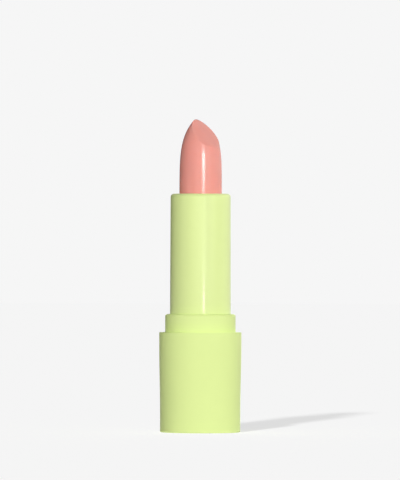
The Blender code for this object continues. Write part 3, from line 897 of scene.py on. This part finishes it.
@dataclass
class BaseAssembly:
    """What the hand holds: shell, slug, insert with its collar, guide tube and brake ring."""

    fits: Fits
    taper: float = 0.27 * MM
    taper_top: float = 25.0 * MM
    taper_bottom: float = 5.0 * MM
    taper_steps: int = 12
    top_edge: float = 0.15 * MM
    bore_edge: float = 0.10 * MM
    bottom_edge: float = 0.4 * MM
    foot_ring_width: float = 1.8 * MM
    recess: float = 0.4 * MM
    recess_edge: float = 0.12 * MM
    gate_radius: float = 0.9 * MM
    gate_height: float = 0.12 * MM
    witness_radius: float = 5.6 * MM
    witness_depth: float = 0.06 * MM
    slug_height: float = 4.0 * MM
    slug_edge: float = 0.4 * MM
    lead_width: float = 0.85 * MM
    lead_height: float = 0.6 * MM
    lead_steps: int = 14
    collar_bore_edge: float = 0.15 * MM
    seat_thickness: float = 1.2 * MM
    skirt_wall: float = 1.1 * MM
    socket_wall: float = 1.0 * MM
    socket_floor: float = 1.0 * MM
    socket_vent: float = 2.5 * MM
    web_count: int = 6
    web_thickness: float = 0.9 * MM
    web_shortfall: float = 1.0 * MM
    foot_length: float = 9.0 * MM
    foot_step: float = 1.2 * MM
    foot_rib_rise: float = 0.4 * MM
    foot_rib_width: float = 0.9 * MM
    foot_rib_count: int = 8
    foot_wall: float = 1.2 * MM
    flange_edge: float = 0.2 * MM
    mould_edge: float = 0.12 * MM
    ledge_width: float = 0.8 * MM
    ring_sides: int = 24

    def waist(self) -> list[Corner]:
        """Make the soft bend in which the shell draws in towards its foot.

        Returns:
            Its corners, from the top down.
        """
        corners = []
        for step in range(self.taper_steps + 1):
            share = step / self.taper_steps
            ease = (1 - math.cos(math.pi * share)) / 2
            height = self.taper_top + (self.taper_bottom - self.taper_top) * share
            corners.append((self.fits.base_radius - self.taper * ease, height, 0.0))
        return corners

    def shell(self) -> bpy.types.Object:
        """Make the outer shell of the base.

        Returns:
            The piece.
        """
        fits = self.fits
        lower = fits.base_radius - self.taper
        recess_radius = lower - self.foot_ring_width
        corners = [
            (0.0, fits.base_floor, 0.0),
            (fits.shell_bore, fits.base_floor, 0.0),
            (fits.shell_bore, fits.base_height - self.bore_edge, 0.0),
            (fits.shell_bore + self.bore_edge, fits.base_height, 0.0),
            (fits.base_radius, fits.base_height, self.top_edge),
            *self.waist(),
            (lower, 0.0, self.bottom_edge),
            (recess_radius, 0.0, self.recess_edge),
            (recess_radius - self.recess, self.recess, self.recess_edge),
            (self.witness_radius + self.witness_depth, self.recess, 0.0),
            (self.witness_radius, self.recess + self.witness_depth, 0.0),
            (self.witness_radius - self.witness_depth, self.recess, 0.0),
            (self.gate_radius, self.recess, 0.0),
            (self.gate_radius, self.recess - self.gate_height, self.witness_depth),
            (0.0, self.recess - self.gate_height, 0.0),
        ]
        piece = Workshop.turned("base_shell_skin", Workshop.rounded(corners))
        return Workshop.finish(piece)

    def slug(self) -> bpy.types.Object:
        """Make the steel slug.

        Returns:
            The piece.
        """
        bottom = self.fits.base_floor + self.fits.seat
        radius = self.fits.shell_bore - self.fits.press
        corners = [
            (0.0, bottom + self.slug_height, 0.0),
            (radius, bottom + self.slug_height, self.slug_edge),
            (radius, bottom, self.slug_edge),
            (0.0, bottom, 0.0),
        ]
        return Workshop.finish(Workshop.turned("base_slug", Workshop.rounded(corners)))

    def lead_in(self) -> list[Vector]:
        """Make the rounded lead-in at the collar's top.

        Returns:
            Its (radius, height) points, from the top down.
        """
        points = []
        for step in range(self.lead_steps + 1):
            angle = math.pi / 2 * (1 - step / self.lead_steps)
            radius = self.fits.collar_radius - self.lead_width * (1 - math.cos(angle))
            height = self.fits.collar_top - self.lead_height * (1 - math.sin(angle))
            points.append(Vector((radius, height)))
        return points

    def insert(self) -> bpy.types.Object:
        """Make the moulded insert whose top is the collar.

        Returns:
            The piece.
        """
        fits = self.fits
        slug_top = fits.base_floor + fits.seat + self.slug_height
        skirt_bottom = slug_top + fits.seat
        skirt_bore = fits.collar_radius - self.skirt_wall
        underside = fits.flange_seat - self.seat_thickness
        socket_bore = fits.guide_radius - self.foot_step + fits.press
        socket_radius = socket_bore + self.socket_wall
        floor_top = fits.flange_bottom - self.foot_length - fits.seat
        socket_bottom = floor_top - self.socket_floor
        inside = [
            (fits.collar_radius, fits.base_height, 0.0),
            (fits.collar_radius, skirt_bottom, self.mould_edge),
            (skirt_bore, skirt_bottom, self.mould_edge),
            (skirt_bore, underside, self.mould_edge),
            (socket_radius, underside, self.mould_edge),
            (socket_radius, socket_bottom, self.mould_edge),
            (self.socket_vent, socket_bottom, 0.0),
            (self.socket_vent, floor_top, 0.0),
            (socket_bore, floor_top, self.mould_edge),
            (socket_bore, fits.flange_seat, self.mould_edge),
            (fits.collar_bore, fits.flange_seat, self.mould_edge),
            (fits.collar_bore, fits.collar_top, self.collar_bore_edge),
            (fits.collar_radius - self.lead_width, fits.collar_top, 0.0),
        ]
        points = self.lead_in() + Workshop.rounded(inside)[:-1]
        piece = Workshop.turned("collar_insert_moulding", points, closed=True)
        web_inner = socket_radius - self.socket_wall * fits.join_share
        web_outer = skirt_bore + self.skirt_wall * fits.join_share
        web_bottom = socket_bottom + self.web_shortfall
        web_top = underside + self.seat_thickness * fits.join_share
        Workshop.ribs(
            piece,
            (web_inner, web_outer),
            (web_bottom, web_top),
            self.web_thickness,
            round_headings(self.web_count),
            Operation.JOIN,
        )
        return Workshop.finish(piece)

    def guide(self) -> bpy.types.Object:
        """Make the slotted guide tube.

        Returns:
            The piece.
        """
        fits = self.fits
        groove_floor = fits.ring_centre_radius - fits.ring_radius - fits.snap_play
        groove_half = fits.ring_radius + fits.snap_play
        bead_top = fits.bead_bottom + fits.bead_width
        bead_radius = fits.guide_radius + fits.bead_rise
        rib_radius = fits.guide_radius - self.foot_step
        foot_radius = rib_radius - self.foot_rib_rise
        foot_bore = foot_radius - self.foot_wall
        foot_bottom = fits.flange_bottom - self.foot_length
        neck_bore = fits.guide_bore - self.ledge_width
        flange_radius = fits.collar_bore - fits.press
        corners = [
            (fits.guide_radius, fits.tube_top, self.mould_edge),
            (fits.guide_radius, bead_top + fits.bead_rise, 0.0),
            (bead_radius, bead_top, self.mould_edge),
            (bead_radius, fits.bead_bottom, 0.0),
            (fits.guide_radius, fits.bead_bottom, 0.0),
            (fits.guide_radius, fits.ring_level + groove_half, 0.0),
            (groove_floor, fits.ring_level + groove_half, self.mould_edge),
            (groove_floor, fits.ring_level - groove_half, self.mould_edge),
            (fits.guide_radius, fits.ring_level - groove_half, 0.0),
            (fits.guide_radius, fits.flange_top, self.mould_edge),
            (flange_radius, fits.flange_top, self.mould_edge),
            (flange_radius, fits.flange_bottom, self.flange_edge),
            (foot_radius, fits.flange_bottom, self.mould_edge),
            (foot_radius, foot_bottom, self.flange_edge),
            (foot_bore, foot_bottom, self.mould_edge),
            (foot_bore, fits.flange_bottom, 0.0),
            (neck_bore, fits.flange_top, 0.0),
            (neck_bore, fits.stop_ledge, self.mould_edge),
            (fits.guide_bore, fits.stop_ledge, 0.0),
            (fits.guide_bore, fits.tube_top, self.mould_edge),
        ]
        points = Workshop.rounded(corners, closed=True)
        piece = Workshop.turned("guide_tube", points, closed=True)
        rib_inner = foot_radius - self.foot_wall * fits.join_share
        rib_bottom = foot_bottom + self.foot_rib_rise
        rib_top = fits.flange_bottom + fits.flange_thickness * fits.join_share
        Workshop.ribs(
            piece,
            (rib_inner, rib_radius),
            (rib_bottom, rib_top),
            self.foot_rib_width,
            round_headings(self.foot_rib_count),
            Operation.JOIN,
        )
        reach = fits.guide_radius + Workshop.overrun
        heights = (fits.lug_lowered, fits.lug_raised)
        slots = Workshop.bar(fits.lug_radius + fits.lug_play, -reach, reach, heights, 0.0)
        Workshop.combine(piece, slots, Operation.CUT)
        return Workshop.finish(piece)

    def ring(self) -> bpy.types.Object:
        """Make the brake ring.

        Returns:
            The piece.
        """
        fits = self.fits
        points = []
        for step in range(self.ring_sides):
            angle = -math.tau * step / self.ring_sides
            radius = fits.ring_centre_radius + fits.ring_radius * math.cos(angle)
            points.append(Vector((radius, fits.ring_level + fits.ring_radius * math.sin(angle))))
        return Workshop.finish(Workshop.turned("brake_ring_moulding", points, closed=True))

    def build(self) -> None:
        """Make every piece of the base and put it in the frame."""
        place(self.shell(), "base_shell", Body.BASE, BASE_LACQUER)
        place(self.slug(), "base_weight", Body.BASE, SLUG_STEEL)
        place(self.insert(), "collar_insert", Body.BASE, COLLAR_LACQUER)
        place(self.guide(), "inner_body", Body.BASE, GUIDE_PLASTIC)
        place(self.ring(), "brake_ring", Body.BASE, BRAKE_RUBBER)


@dataclass
class BarrelAssembly:
    """What turns: the thin outer sleeve with the spiral cam inside it."""

    fits: Fits
    rim_round: float = 1.0 * MM
    rim_inner_edge: float = 0.15 * MM
    foot_edge: float = 0.08 * MM
    lip_play: float = 0.12 * MM
    top_chamfer: float = 0.5 * MM
    pocket_relief: float = 0.05 * MM
    spiral_steps: int = 131
    spiral_overrun: float = 3.0 * DEGREE

    def sleeve(self) -> bpy.types.Object:
        """Make the outer sleeve.

        Returns:
            The piece.
        """
        fits = self.fits
        lip_radius = fits.cup_radius + self.lip_play
        foot_bore = fits.sleeve_foot_radius - fits.sleeve_wall
        corners = [
            (lip_radius, fits.rim, self.rim_inner_edge),
            (fits.sleeve_top_radius, fits.rim, self.rim_round),
            (fits.sleeve_foot_radius, fits.barrel_bottom, self.foot_edge),
            (foot_bore, fits.barrel_bottom, self.foot_edge),
            (fits.sleeve_bore, fits.rim - fits.sleeve_lip, self.rim_round - fits.sleeve_wall),
            (lip_radius, fits.rim - fits.sleeve_lip, self.foot_edge),
        ]
        points = Workshop.rounded(corners, closed=True)
        return Workshop.finish(Workshop.turned("outer_sleeve_shell", points, closed=True))

    def groove(self, heading: float) -> bpy.types.Object:
        """Make the tool that cuts one spiral groove.

        Args:
            heading: where the raised lug stands in it.

        Returns:
            The tool.
        """
        fits = self.fits
        sweep = fits.twist_range + 2 * self.spiral_overrun
        slope = fits.lead / (math.tau * fits.guide_radius)
        half = (fits.lug_radius + fits.lug_play) * math.hypot(1.0, slope)
        inner = fits.guide_radius - Workshop.overrun
        level = fits.lug_raised + fits.lead * self.spiral_overrun / math.tau
        outline = [(inner, -half), (fits.groove_radius, -half), (fits.groove_radius, half), (inner, half)]
        shape = bmesh.new()
        verts = [shape.verts.new((radius, 0.0, level + height)) for radius, height in outline]
        face = shape.faces.new(verts)
        start = Matrix.Rotation(heading + self.spiral_overrun, 3, "Z")
        bmesh.ops.rotate(shape, matrix=start, verts=shape.verts)
        bmesh.ops.spin(
            shape,
            geom=[face, *face.edges, *face.verts],
            axis=-UP,
            dvec=-UP * (fits.lead * sweep / math.tau / self.spiral_steps),
            angle=sweep,
            steps=self.spiral_steps,
        )
        bmesh.ops.triangulate(shape, faces=shape.faces)
        bmesh.ops.recalc_face_normals(shape, faces=shape.faces)
        return Workshop.from_bmesh("groove_tool", shape)

    def cam(self) -> bpy.types.Object:
        """Make the spiral cam.

        Returns:
            The piece.
        """
        fits = self.fits
        snap_radius = fits.guide_radius + fits.bead_rise + fits.snap_play
        lip_top = fits.counterbore_top + fits.snap_lip
        snap_top = fits.bead_bottom + fits.bead_width + fits.snap_play
        corners = [
            (fits.cam_radius - self.top_chamfer, fits.tube_top),
            (fits.cam_radius, fits.tube_top - self.top_chamfer),
            (fits.cam_radius, fits.barrel_bottom + self.foot_edge),
            (fits.cam_radius - self.foot_edge, fits.barrel_bottom),
            (fits.groove_radius, fits.barrel_bottom),
            (fits.groove_radius, fits.counterbore_top),
            (fits.cam_bore, fits.counterbore_top),
            (fits.cam_bore, lip_top),
            (snap_radius, lip_top),
            (snap_radius, snap_top),
            (fits.cam_bore, snap_top + fits.bead_rise),
            (fits.cam_bore, fits.tube_top),
        ]
        piece = Workshop.turned("spiral_cam", [Vector(corner) for corner in corners], closed=True)
        for heading in round_headings(fits.lug_count):
            Workshop.combine(piece, self.groove(heading), Operation.CUT)
        width = fits.lug_radius + fits.lug_play
        reach = fits.groove_radius + self.pocket_relief
        upper = (fits.lug_raised, fits.lug_raised)
        Workshop.combine(piece, Workshop.bar(width, -reach, reach, upper, 0.0), Operation.CUT)
        lower = (fits.barrel_bottom - Workshop.overrun, fits.lug_lowered)
        channels = Workshop.bar(width, -reach, reach, lower, -fits.twist_range)
        Workshop.combine(piece, channels, Operation.CUT)
        return Workshop.finish(piece)

    def build(self) -> None:
        """Make both pieces of the barrel and put them in the frame."""
        place(self.sleeve(), "outer_sleeve", Body.BARREL, SLEEVE_LACQUER)
        place(self.cam(), "cam_sleeve", Body.BARREL, CAM_PLASTIC)


@dataclass
class CarrierAssembly:
    """What rises: the lugged cup and the bullet that it grips."""

    fits: Fits
    bullet_length: float = 36.7 * MM
    ogive_length: float = 26.0 * MM
    ogive_power: float = 5.07
    ogive_taper: float = 1.02
    ogive_steps: int = 60
    slant_depth: float = 3.71 * MM
    slant_tilt: float = 47.7 * DEGREE
    slant_heading: float = -36.8 * DEGREE
    slant_bend: float = 10.4 * MM
    slant_steps: int = 24
    slant_edge: float = 0.11 * MM
    slant_edge_steps: int = 8
    halvings: int = 40
    foot_edge: float = 0.6 * MM
    cup_edge: float = 0.15 * MM
    vent_radius: float = 1.6 * MM
    rib_count: int = 6
    rib_width: float = 0.7 * MM
    rib_bite: float = 0.25 * MM
    rib_height: float = 8.0 * MM
    mark_margin: float = 0.5 * MM

    @property
    def rib_headings(self) -> list[float]:
        """Headings of the cup's inner ribs, half a step off the lugs."""
        return round_headings(self.rib_count, shift=0.5)

    @property
    def bullet_bottom(self) -> float:
        """Height of the bullet's foot when the cup is up."""
        return self.fits.cup_raised + self.fits.cup_floor + self.fits.seat

    @property
    def apex(self) -> float:
        """Height of the ogive's apex, which the slant cuts off."""
        return self.bullet_bottom + self.bullet_length

    @property
    def shoulder(self) -> float:
        """Height at which the ogive begins."""
        return self.apex - self.ogive_length

    def cup(self) -> bpy.types.Object:
        """Make the carrier cup.

        Returns:
            The piece.
        """
        fits = self.fits
        bottom = fits.cup_raised
        top = bottom + fits.cup_height
        corners = [
            (fits.cup_radius, top, self.cup_edge),
            (fits.cup_radius, bottom, self.cup_edge),
            (self.vent_radius, bottom, 0.0),
            (self.vent_radius, bottom + fits.cup_floor, 0.0),
            (fits.cup_bore, bottom + fits.cup_floor, self.cup_edge),
            (fits.cup_bore, top, self.cup_edge),
        ]
        points = Workshop.rounded(corners, closed=True)
        piece = Workshop.turned("lugged_cup", points, closed=True)
        rib_inner = fits.bullet_radius - self.rib_bite
        rib_outer = fits.cup_bore + fits.cup_wall * fits.join_share
        rib_bottom = bottom + fits.cup_floor * fits.join_share
        rib_top = bottom + fits.cup_floor + self.rib_height
        Workshop.ribs(
            piece,
            (rib_inner, rib_outer),
            (rib_bottom, rib_top),
            self.rib_width,
            self.rib_headings,
            Operation.JOIN,
        )
        root = fits.cup_radius - fits.cup_wall * fits.join_share
        tip = fits.groove_radius - fits.snap_play
        level = (fits.lug_raised, fits.lug_raised)
        for heading in round_headings(fits.lug_count):
            lug = Workshop.bar(fits.lug_radius, root, tip, level, heading)
            Workshop.combine(piece, lug, Operation.JOIN)
        return Workshop.finish(piece)

    def slant(self, radius: float, heading: float) -> float:
        """Give the slant's height: plane on its far half, bent down on its near half.

        Args:
            radius: distance from the axis.
            heading: angle from +X.

        Returns:
            The height.
        """
        turn = heading - self.slant_heading
        level = self.apex - self.slant_depth
        fall = radius * math.cos(turn) * math.tan(self.slant_tilt)
        bend = min(radius * math.sin(turn), 0.0) ** 2 / (2 * self.slant_bend)
        return level - fall - bend / math.cos(self.slant_tilt)

    def ogive(self, height: float) -> Vector:
        """Find a point of the ogive.

        Args:
            height: height of the point.

        Returns:
            Its (radius, height).
        """
        rise = max(height - self.shoulder, 0.0) / self.ogive_length
        closing = max(1.0 - rise**self.ogive_power, 0.0) ** self.ogive_taper
        return Vector((self.fits.bullet_radius * closing, height))

    def brink(self, heading: float) -> float:
        """Find where the slant meets the ogive, by halving.

        Args:
            heading: angle from +X.

        Returns:
            The distance from the axis.
        """
        inner = 0.0
        outer = self.fits.bullet_radius
        for _ in range(self.halvings):
            middle = (inner + outer) / 2
            if self.ogive(self.slant(middle, heading))[0] > middle:
                inner = middle
            else:
                outer = middle
        return inner

    def section(self, heading: float) -> list[Vector]:
        """Make one half section of the bullet: slant, rounded edge, ogive, wall and foot.

        Args:
            heading: angle from +X.

        Returns:
            Its (radius, height) points, from the middle of the slant to the middle of the foot.
        """
        brink = self.brink(heading)
        corner = Vector((brink, self.slant(brink, heading)))
        within = brink - self.slant_edge
        inward = Vector((within, self.slant(within, heading))) - corner
        start = corner + inward.normalized() * self.slant_edge
        downward = self.ogive(corner[1] - self.slant_edge) - corner
        end = corner + downward.normalized() * self.slant_edge
        points = []
        for step in range(self.slant_steps):
            radius = start[0] * step / self.slant_steps
            points.append(Vector((radius, self.slant(radius, heading))))
        for step in range(self.slant_edge_steps + 1):
            share = step / self.slant_edge_steps
            points.append(start.lerp(corner, share).lerp(corner.lerp(end, share), share))
        first = math.acos((end[1] - self.shoulder) / self.ogive_length)
        for step in range(1, self.ogive_steps + 1):
            angle = first + (math.pi / 2 - first) * step / self.ogive_steps
            points.append(self.ogive(self.shoulder + self.ogive_length * math.cos(angle)))
        corners = [
            (self.fits.bullet_radius, self.shoulder, 0.0),
            (self.fits.bullet_radius, self.bullet_bottom + self.rib_height + self.mark_margin, 0.0),
            (self.fits.bullet_radius, self.bullet_bottom, self.foot_edge),
            (0.0, self.bullet_bottom, 0.0),
        ]
        return points + Workshop.rounded(corners)[1:]

    def bullet(self) -> bpy.types.Object:
        """Make the bullet: an ogive bar with a slant and the marks of the cup's ribs.

        Returns:
            The piece.
        """
        fits = self.fits
        sections = [self.section(heading) for heading in round_headings(Workshop.segments)]
        piece = Workshop.lofted("bullet_wax", sections)
        mark_inner = fits.bullet_radius - self.rib_bite - fits.running
        mark_outer = fits.bullet_radius + Workshop.overrun
        mark_bottom = self.bullet_bottom - Workshop.overrun
        mark_top = self.bullet_bottom + self.rib_height
        Workshop.ribs(
            piece,
            (mark_inner, mark_outer),
            (mark_bottom, mark_top),
            self.rib_width + 2 * fits.running,
            self.rib_headings,
            Operation.CUT,
        )
        Workshop.finish(piece)
        even = piece.modifiers.new("even_normals", "WEIGHTED_NORMAL")
        even.keep_sharp = True
        return piece

    def build(self) -> None:
        """Make both pieces of the carrier and put them in the frame."""
        place(self.cup(), "carrier_cup", Body.CARRIER, CUP_PLASTIC)
        place(self.bullet(), "bullet", Body.CARRIER, PINK_WAX)


@dataclass(frozen=True)
class Softbox:
    """One rectangular lamp that faces the lipstick."""

    name: str
    use: LampUse
    heading: float
    level: float
    elevation: float = 10.0 * DEGREE
    distance: float = 1.2
    width: float = 0.5
    height: float = 0.8
    only: str = ""
    through_floor: bool = False

    @property
    def power(self) -> float:
        """Power at which a white surface that faces the lamp is about as bright as the level."""
        return self.level * (math.pi * self.distance) ** 2

    def build(self, target: Vector) -> bpy.types.Object:
        """Make the lamp.

        Args:
            target: the point that it faces.

        Returns:
            The lamp.
        """
        light = bpy.data.lights.new(self.name, "AREA")
        light.shape = "RECTANGLE"
        light.size = self.width
        light.size_y = self.height
        light.energy = self.power
        lamp = bpy.data.objects.new(self.name, light)
        bpy.context.scene.collection.objects.link(lamp)
        lamp.location = target + direction(self.heading, self.elevation) * self.distance
        lamp.rotation_euler = (target - lamp.location).to_track_quat("-Z", "Y").to_euler()
        lamp.visible_camera = False
        lamp.visible_diffuse = self.use is LampUse.COLOUR
        lamp.visible_glossy = self.use is LampUse.SHEEN
        return lamp


@dataclass(frozen=True)
class Flag:
    """One dim card that only gloss shows, in place of the pale room, so that an edge stays dark."""

    name: str
    heading: float
    distance: float
    width: float
    height: float
    glow: float

    def build(self) -> bpy.types.Object:
        """Make the card, upright and facing the lipstick.

        Returns:
            The card.
        """
        shape = bmesh.new()
        bmesh.ops.create_grid(shape, size=self.width / 2)
        bmesh.ops.scale(shape, vec=(1.0, self.height / self.width, 1.0), verts=shape.verts)
        bmesh.ops.rotate(shape, matrix=Matrix.Rotation(math.pi / 2, 3, "X"), verts=shape.verts)
        bmesh.ops.translate(shape, vec=(0.0, -self.distance, 0.0), verts=shape.verts)
        bmesh.ops.rotate(shape, matrix=Matrix.Rotation(self.heading, 3, "Z"), verts=shape.verts)
        card = Workshop.from_bmesh(self.name, shape)
        graph = Graph(bpy.data.materials.new(self.name))
        graph.fix("Base Color", BLACK)
        graph.fix("Specular IOR Level", 0.0)
        graph.fix("Emission Color", WHITE)
        graph.fix("Emission Strength", self.glow)
        card.data.materials.append(graph.owner)
        card.visible_camera = False
        card.visible_diffuse = False
        card.visible_transmission = False
        card.visible_shadow = False
        return card


@dataclass
class Studio:
    """The pale room and its floor, the soft lamps, the shadow lamp and the long lens."""

    lens: float = 515.8
    sensor: float = 36.0
    camera_aside: float = -0.165 * MM
    camera_distance: float = 1.96
    camera_height: float = 54.8 * MM
    camera_roll: float = -0.148 * DEGREE
    camera_clip: Span = (0.1, 50.0)
    target_height: float = 50.0 * MM
    pale: float = 0.9216
    floor_radius: float = 4.0
    floor_sides: int = 64
    floor_glow: float = 0.725
    floor_colour: Colour = (0.3, 0.3, 0.3)
    sun_heading: float = -12.0 * DEGREE
    sun_elevation: float = 20.5 * DEGREE
    sun_angle: float = 3.0 * DEGREE
    sun_strength: float = 5.6
    lamps: tuple[Softbox, ...] = (
        Softbox("soft_left", LampUse.COLOUR, -75.0 * DEGREE, 0.135),
        Softbox("soft_left_front", LampUse.COLOUR, -50.0 * DEGREE, 0.057),
        Softbox("soft_front_left", LampUse.COLOUR, -25.0 * DEGREE, 0.077),
        Softbox("soft_front", LampUse.COLOUR, 0.0, 0.725),
        Softbox("soft_front_right", LampUse.COLOUR, 25.0 * DEGREE, 0.297),
        Softbox("soft_right_front", LampUse.COLOUR, 75.0 * DEGREE, 0.119),
        Softbox("soft_right", LampUse.COLOUR, 100.0 * DEGREE, 0.297),
        Softbox("soft_right_rear", LampUse.COLOUR, 125.0 * DEGREE, 0.099),
        Softbox("soft_rear", LampUse.COLOUR, 150.0 * DEGREE, 0.176),
        Softbox("soft_back", LampUse.COLOUR, 180.0 * DEGREE, 0.55, width=0.9),
        Softbox(
            "soft_under",
            LampUse.COLOUR,
            0.0,
            0.35,
            elevation=-90.0 * DEGREE,
            distance=0.6,
            width=0.1,
            height=0.1,
            through_floor=True,
        ),
        Softbox("wide_sheen", LampUse.SHEEN, 0.0, 0.27, width=1.2),
        Softbox("near_sheen", LampUse.SHEEN, 20.0 * DEGREE, 0.05),
        Softbox("right_sheen", LampUse.SHEEN, 45.0 * DEGREE, 0.174),
        Softbox("side_sheen", LampUse.SHEEN, 100.0 * DEGREE, 0.07, width=1.0),
        Softbox(
            "bullet_strip",
            LampUse.SHEEN,
            15.6 * DEGREE,
            0.9,
            elevation=11.2 * DEGREE,
            distance=0.6,
            width=0.125,
            height=0.178,
            only="bullet_wax",
        ),
        Softbox(
            "sleeve_strip",
            LampUse.SHEEN,
            12.5 * DEGREE,
            0.14,
            elevation=-5.2 * DEGREE,
            distance=0.6,
            width=0.075,
            height=0.07,
            only="outer_sleeve_shell",
            through_floor=True,
        ),
    )
    flag: Flag = Flag("left_flag", -124.0 * DEGREE, distance=0.9, width=2.0, height=1.6, glow=0.08)

    def camera(self) -> None:
        """Make the camera: a long lens, level, aimed straight along +Y."""
        data = bpy.data.cameras.new("long_lens")
        data.lens = self.lens
        data.sensor_width = self.sensor
        data.clip_start, data.clip_end = self.camera_clip
        camera = bpy.data.objects.new("long_lens", data)
        camera.location = (self.camera_aside, -self.camera_distance, self.camera_height)
        camera.rotation_euler = (math.pi / 2, self.camera_roll, 0.0)
        bpy.context.scene.collection.objects.link(camera)
        bpy.context.scene.camera = camera

    def room(self) -> None:
        """Make the pale background."""
        graph = Graph(bpy.data.worlds.new("pale_room"))
        bpy.context.scene.world = graph.owner
        background = graph.tree.nodes["Background"]
        background.inputs["Color"].default_value = WHITE
        graph.link(graph.shown(self.pale), background.inputs["Strength"])

    def floor(self) -> bpy.types.Object:
        """Make the floor: its glow and the light on it add up to the background, but for the shadow.

        Returns:
            The floor.
        """
        shape = bmesh.new()
        bmesh.ops.create_circle(
            shape, cap_ends=True, radius=self.floor_radius, segments=self.floor_sides
        )
        floor = Workshop.from_bmesh("studio_floor", shape)
        graph = Graph(bpy.data.materials.new("pale_floor"))
        graph.tree.nodes.clear()
        glow = graph.node("ShaderNodeEmission")
        graph.link(graph.shown(self.floor_glow), glow.inputs["Strength"])
        lit = graph.node("ShaderNodeBsdfDiffuse")
        lit.inputs["Color"].default_value = (*self.floor_colour, 1.0)
        above = graph.node("ShaderNodeAddShader")
        graph.link(glow.outputs[0], above.inputs[0])
        graph.link(lit.outputs[0], above.inputs[1])
        from_below = graph.node("ShaderNodeNewGeometry").outputs["Backfacing"]
        clear = graph.node("ShaderNodeBsdfTransparent")
        both = graph.node("ShaderNodeMixShader")
        graph.link(from_below, both.inputs[0])
        graph.link(above.outputs[0], both.inputs[1])
        graph.link(clear.outputs[0], both.inputs[2])
        output = graph.node("ShaderNodeOutputMaterial")
        graph.link(both.outputs[0], output.inputs["Surface"])
        floor.data.materials.append(graph.owner)
        return floor

    def sun(self) -> bpy.types.Object:
        """Make the lamp that throws the long soft shadow on the floor.

        Returns:
            The lamp.
        """
        light = bpy.data.lights.new("shadow_lamp", "SUN")
        light.energy = self.sun_strength
        light.angle = self.sun_angle
        lamp = bpy.data.objects.new("shadow_lamp", light)
        bpy.context.scene.collection.objects.link(lamp)
        travel = -direction(self.sun_heading, self.sun_elevation)
        lamp.rotation_euler = travel.to_track_quat("-Z", "Y").to_euler()
        return lamp

    @staticmethod
    def alone(name: str, member: bpy.types.Object) -> bpy.types.Collection:
        """Make a collection of one object, for the light linking of a lamp.

        Args:
            name: name of the collection.
            member: the object.

        Returns:
            The collection.
        """
        collection = bpy.data.collections.new(name)
        collection.objects.link(member)
        return collection

    def build(self) -> None:
        """Set up the whole studio. Only the shadow lamp lights the floor."""
        bpy.context.scene.view_settings.view_transform = "Standard"
        self.camera()
        self.room()
        floor = self.floor()
        self.sun().light_linking.receiver_collection = self.alone("lit_by_shadow_lamp", floor)
        all_but_floor = self.alone("floor_left_out", floor)
        for member in all_but_floor.collection_objects:
            member.light_linking.link_state = "EXCLUDE"
        target = Vector((0.0, 0.0, self.target_height))
        for softbox in self.lamps:
            lamp = softbox.build(target)
            lamp.light_linking.receiver_collection = all_but_floor
            if softbox.through_floor:
                lamp.light_linking.blocker_collection = all_but_floor
            if softbox.only:
                piece = bpy.data.objects[softbox.only]
                lamp.light_linking.receiver_collection = self.alone("lit_by_" + softbox.name, piece)
        self.flag.build()
        LOG.info("studio: %d soft lamps", len(self.lamps))


def main() -> None:
    """Load the frame, dress every node and set up the studio."""
    logging.basicConfig(level=logging.INFO, format="%(name)s: %(message)s")
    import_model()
    fits = Fits()
    BaseAssembly(fits).build()
    BarrelAssembly(fits).build()
    CarrierAssembly(fits).build()
    Studio().build()


if __name__ == "__main__":
    main()
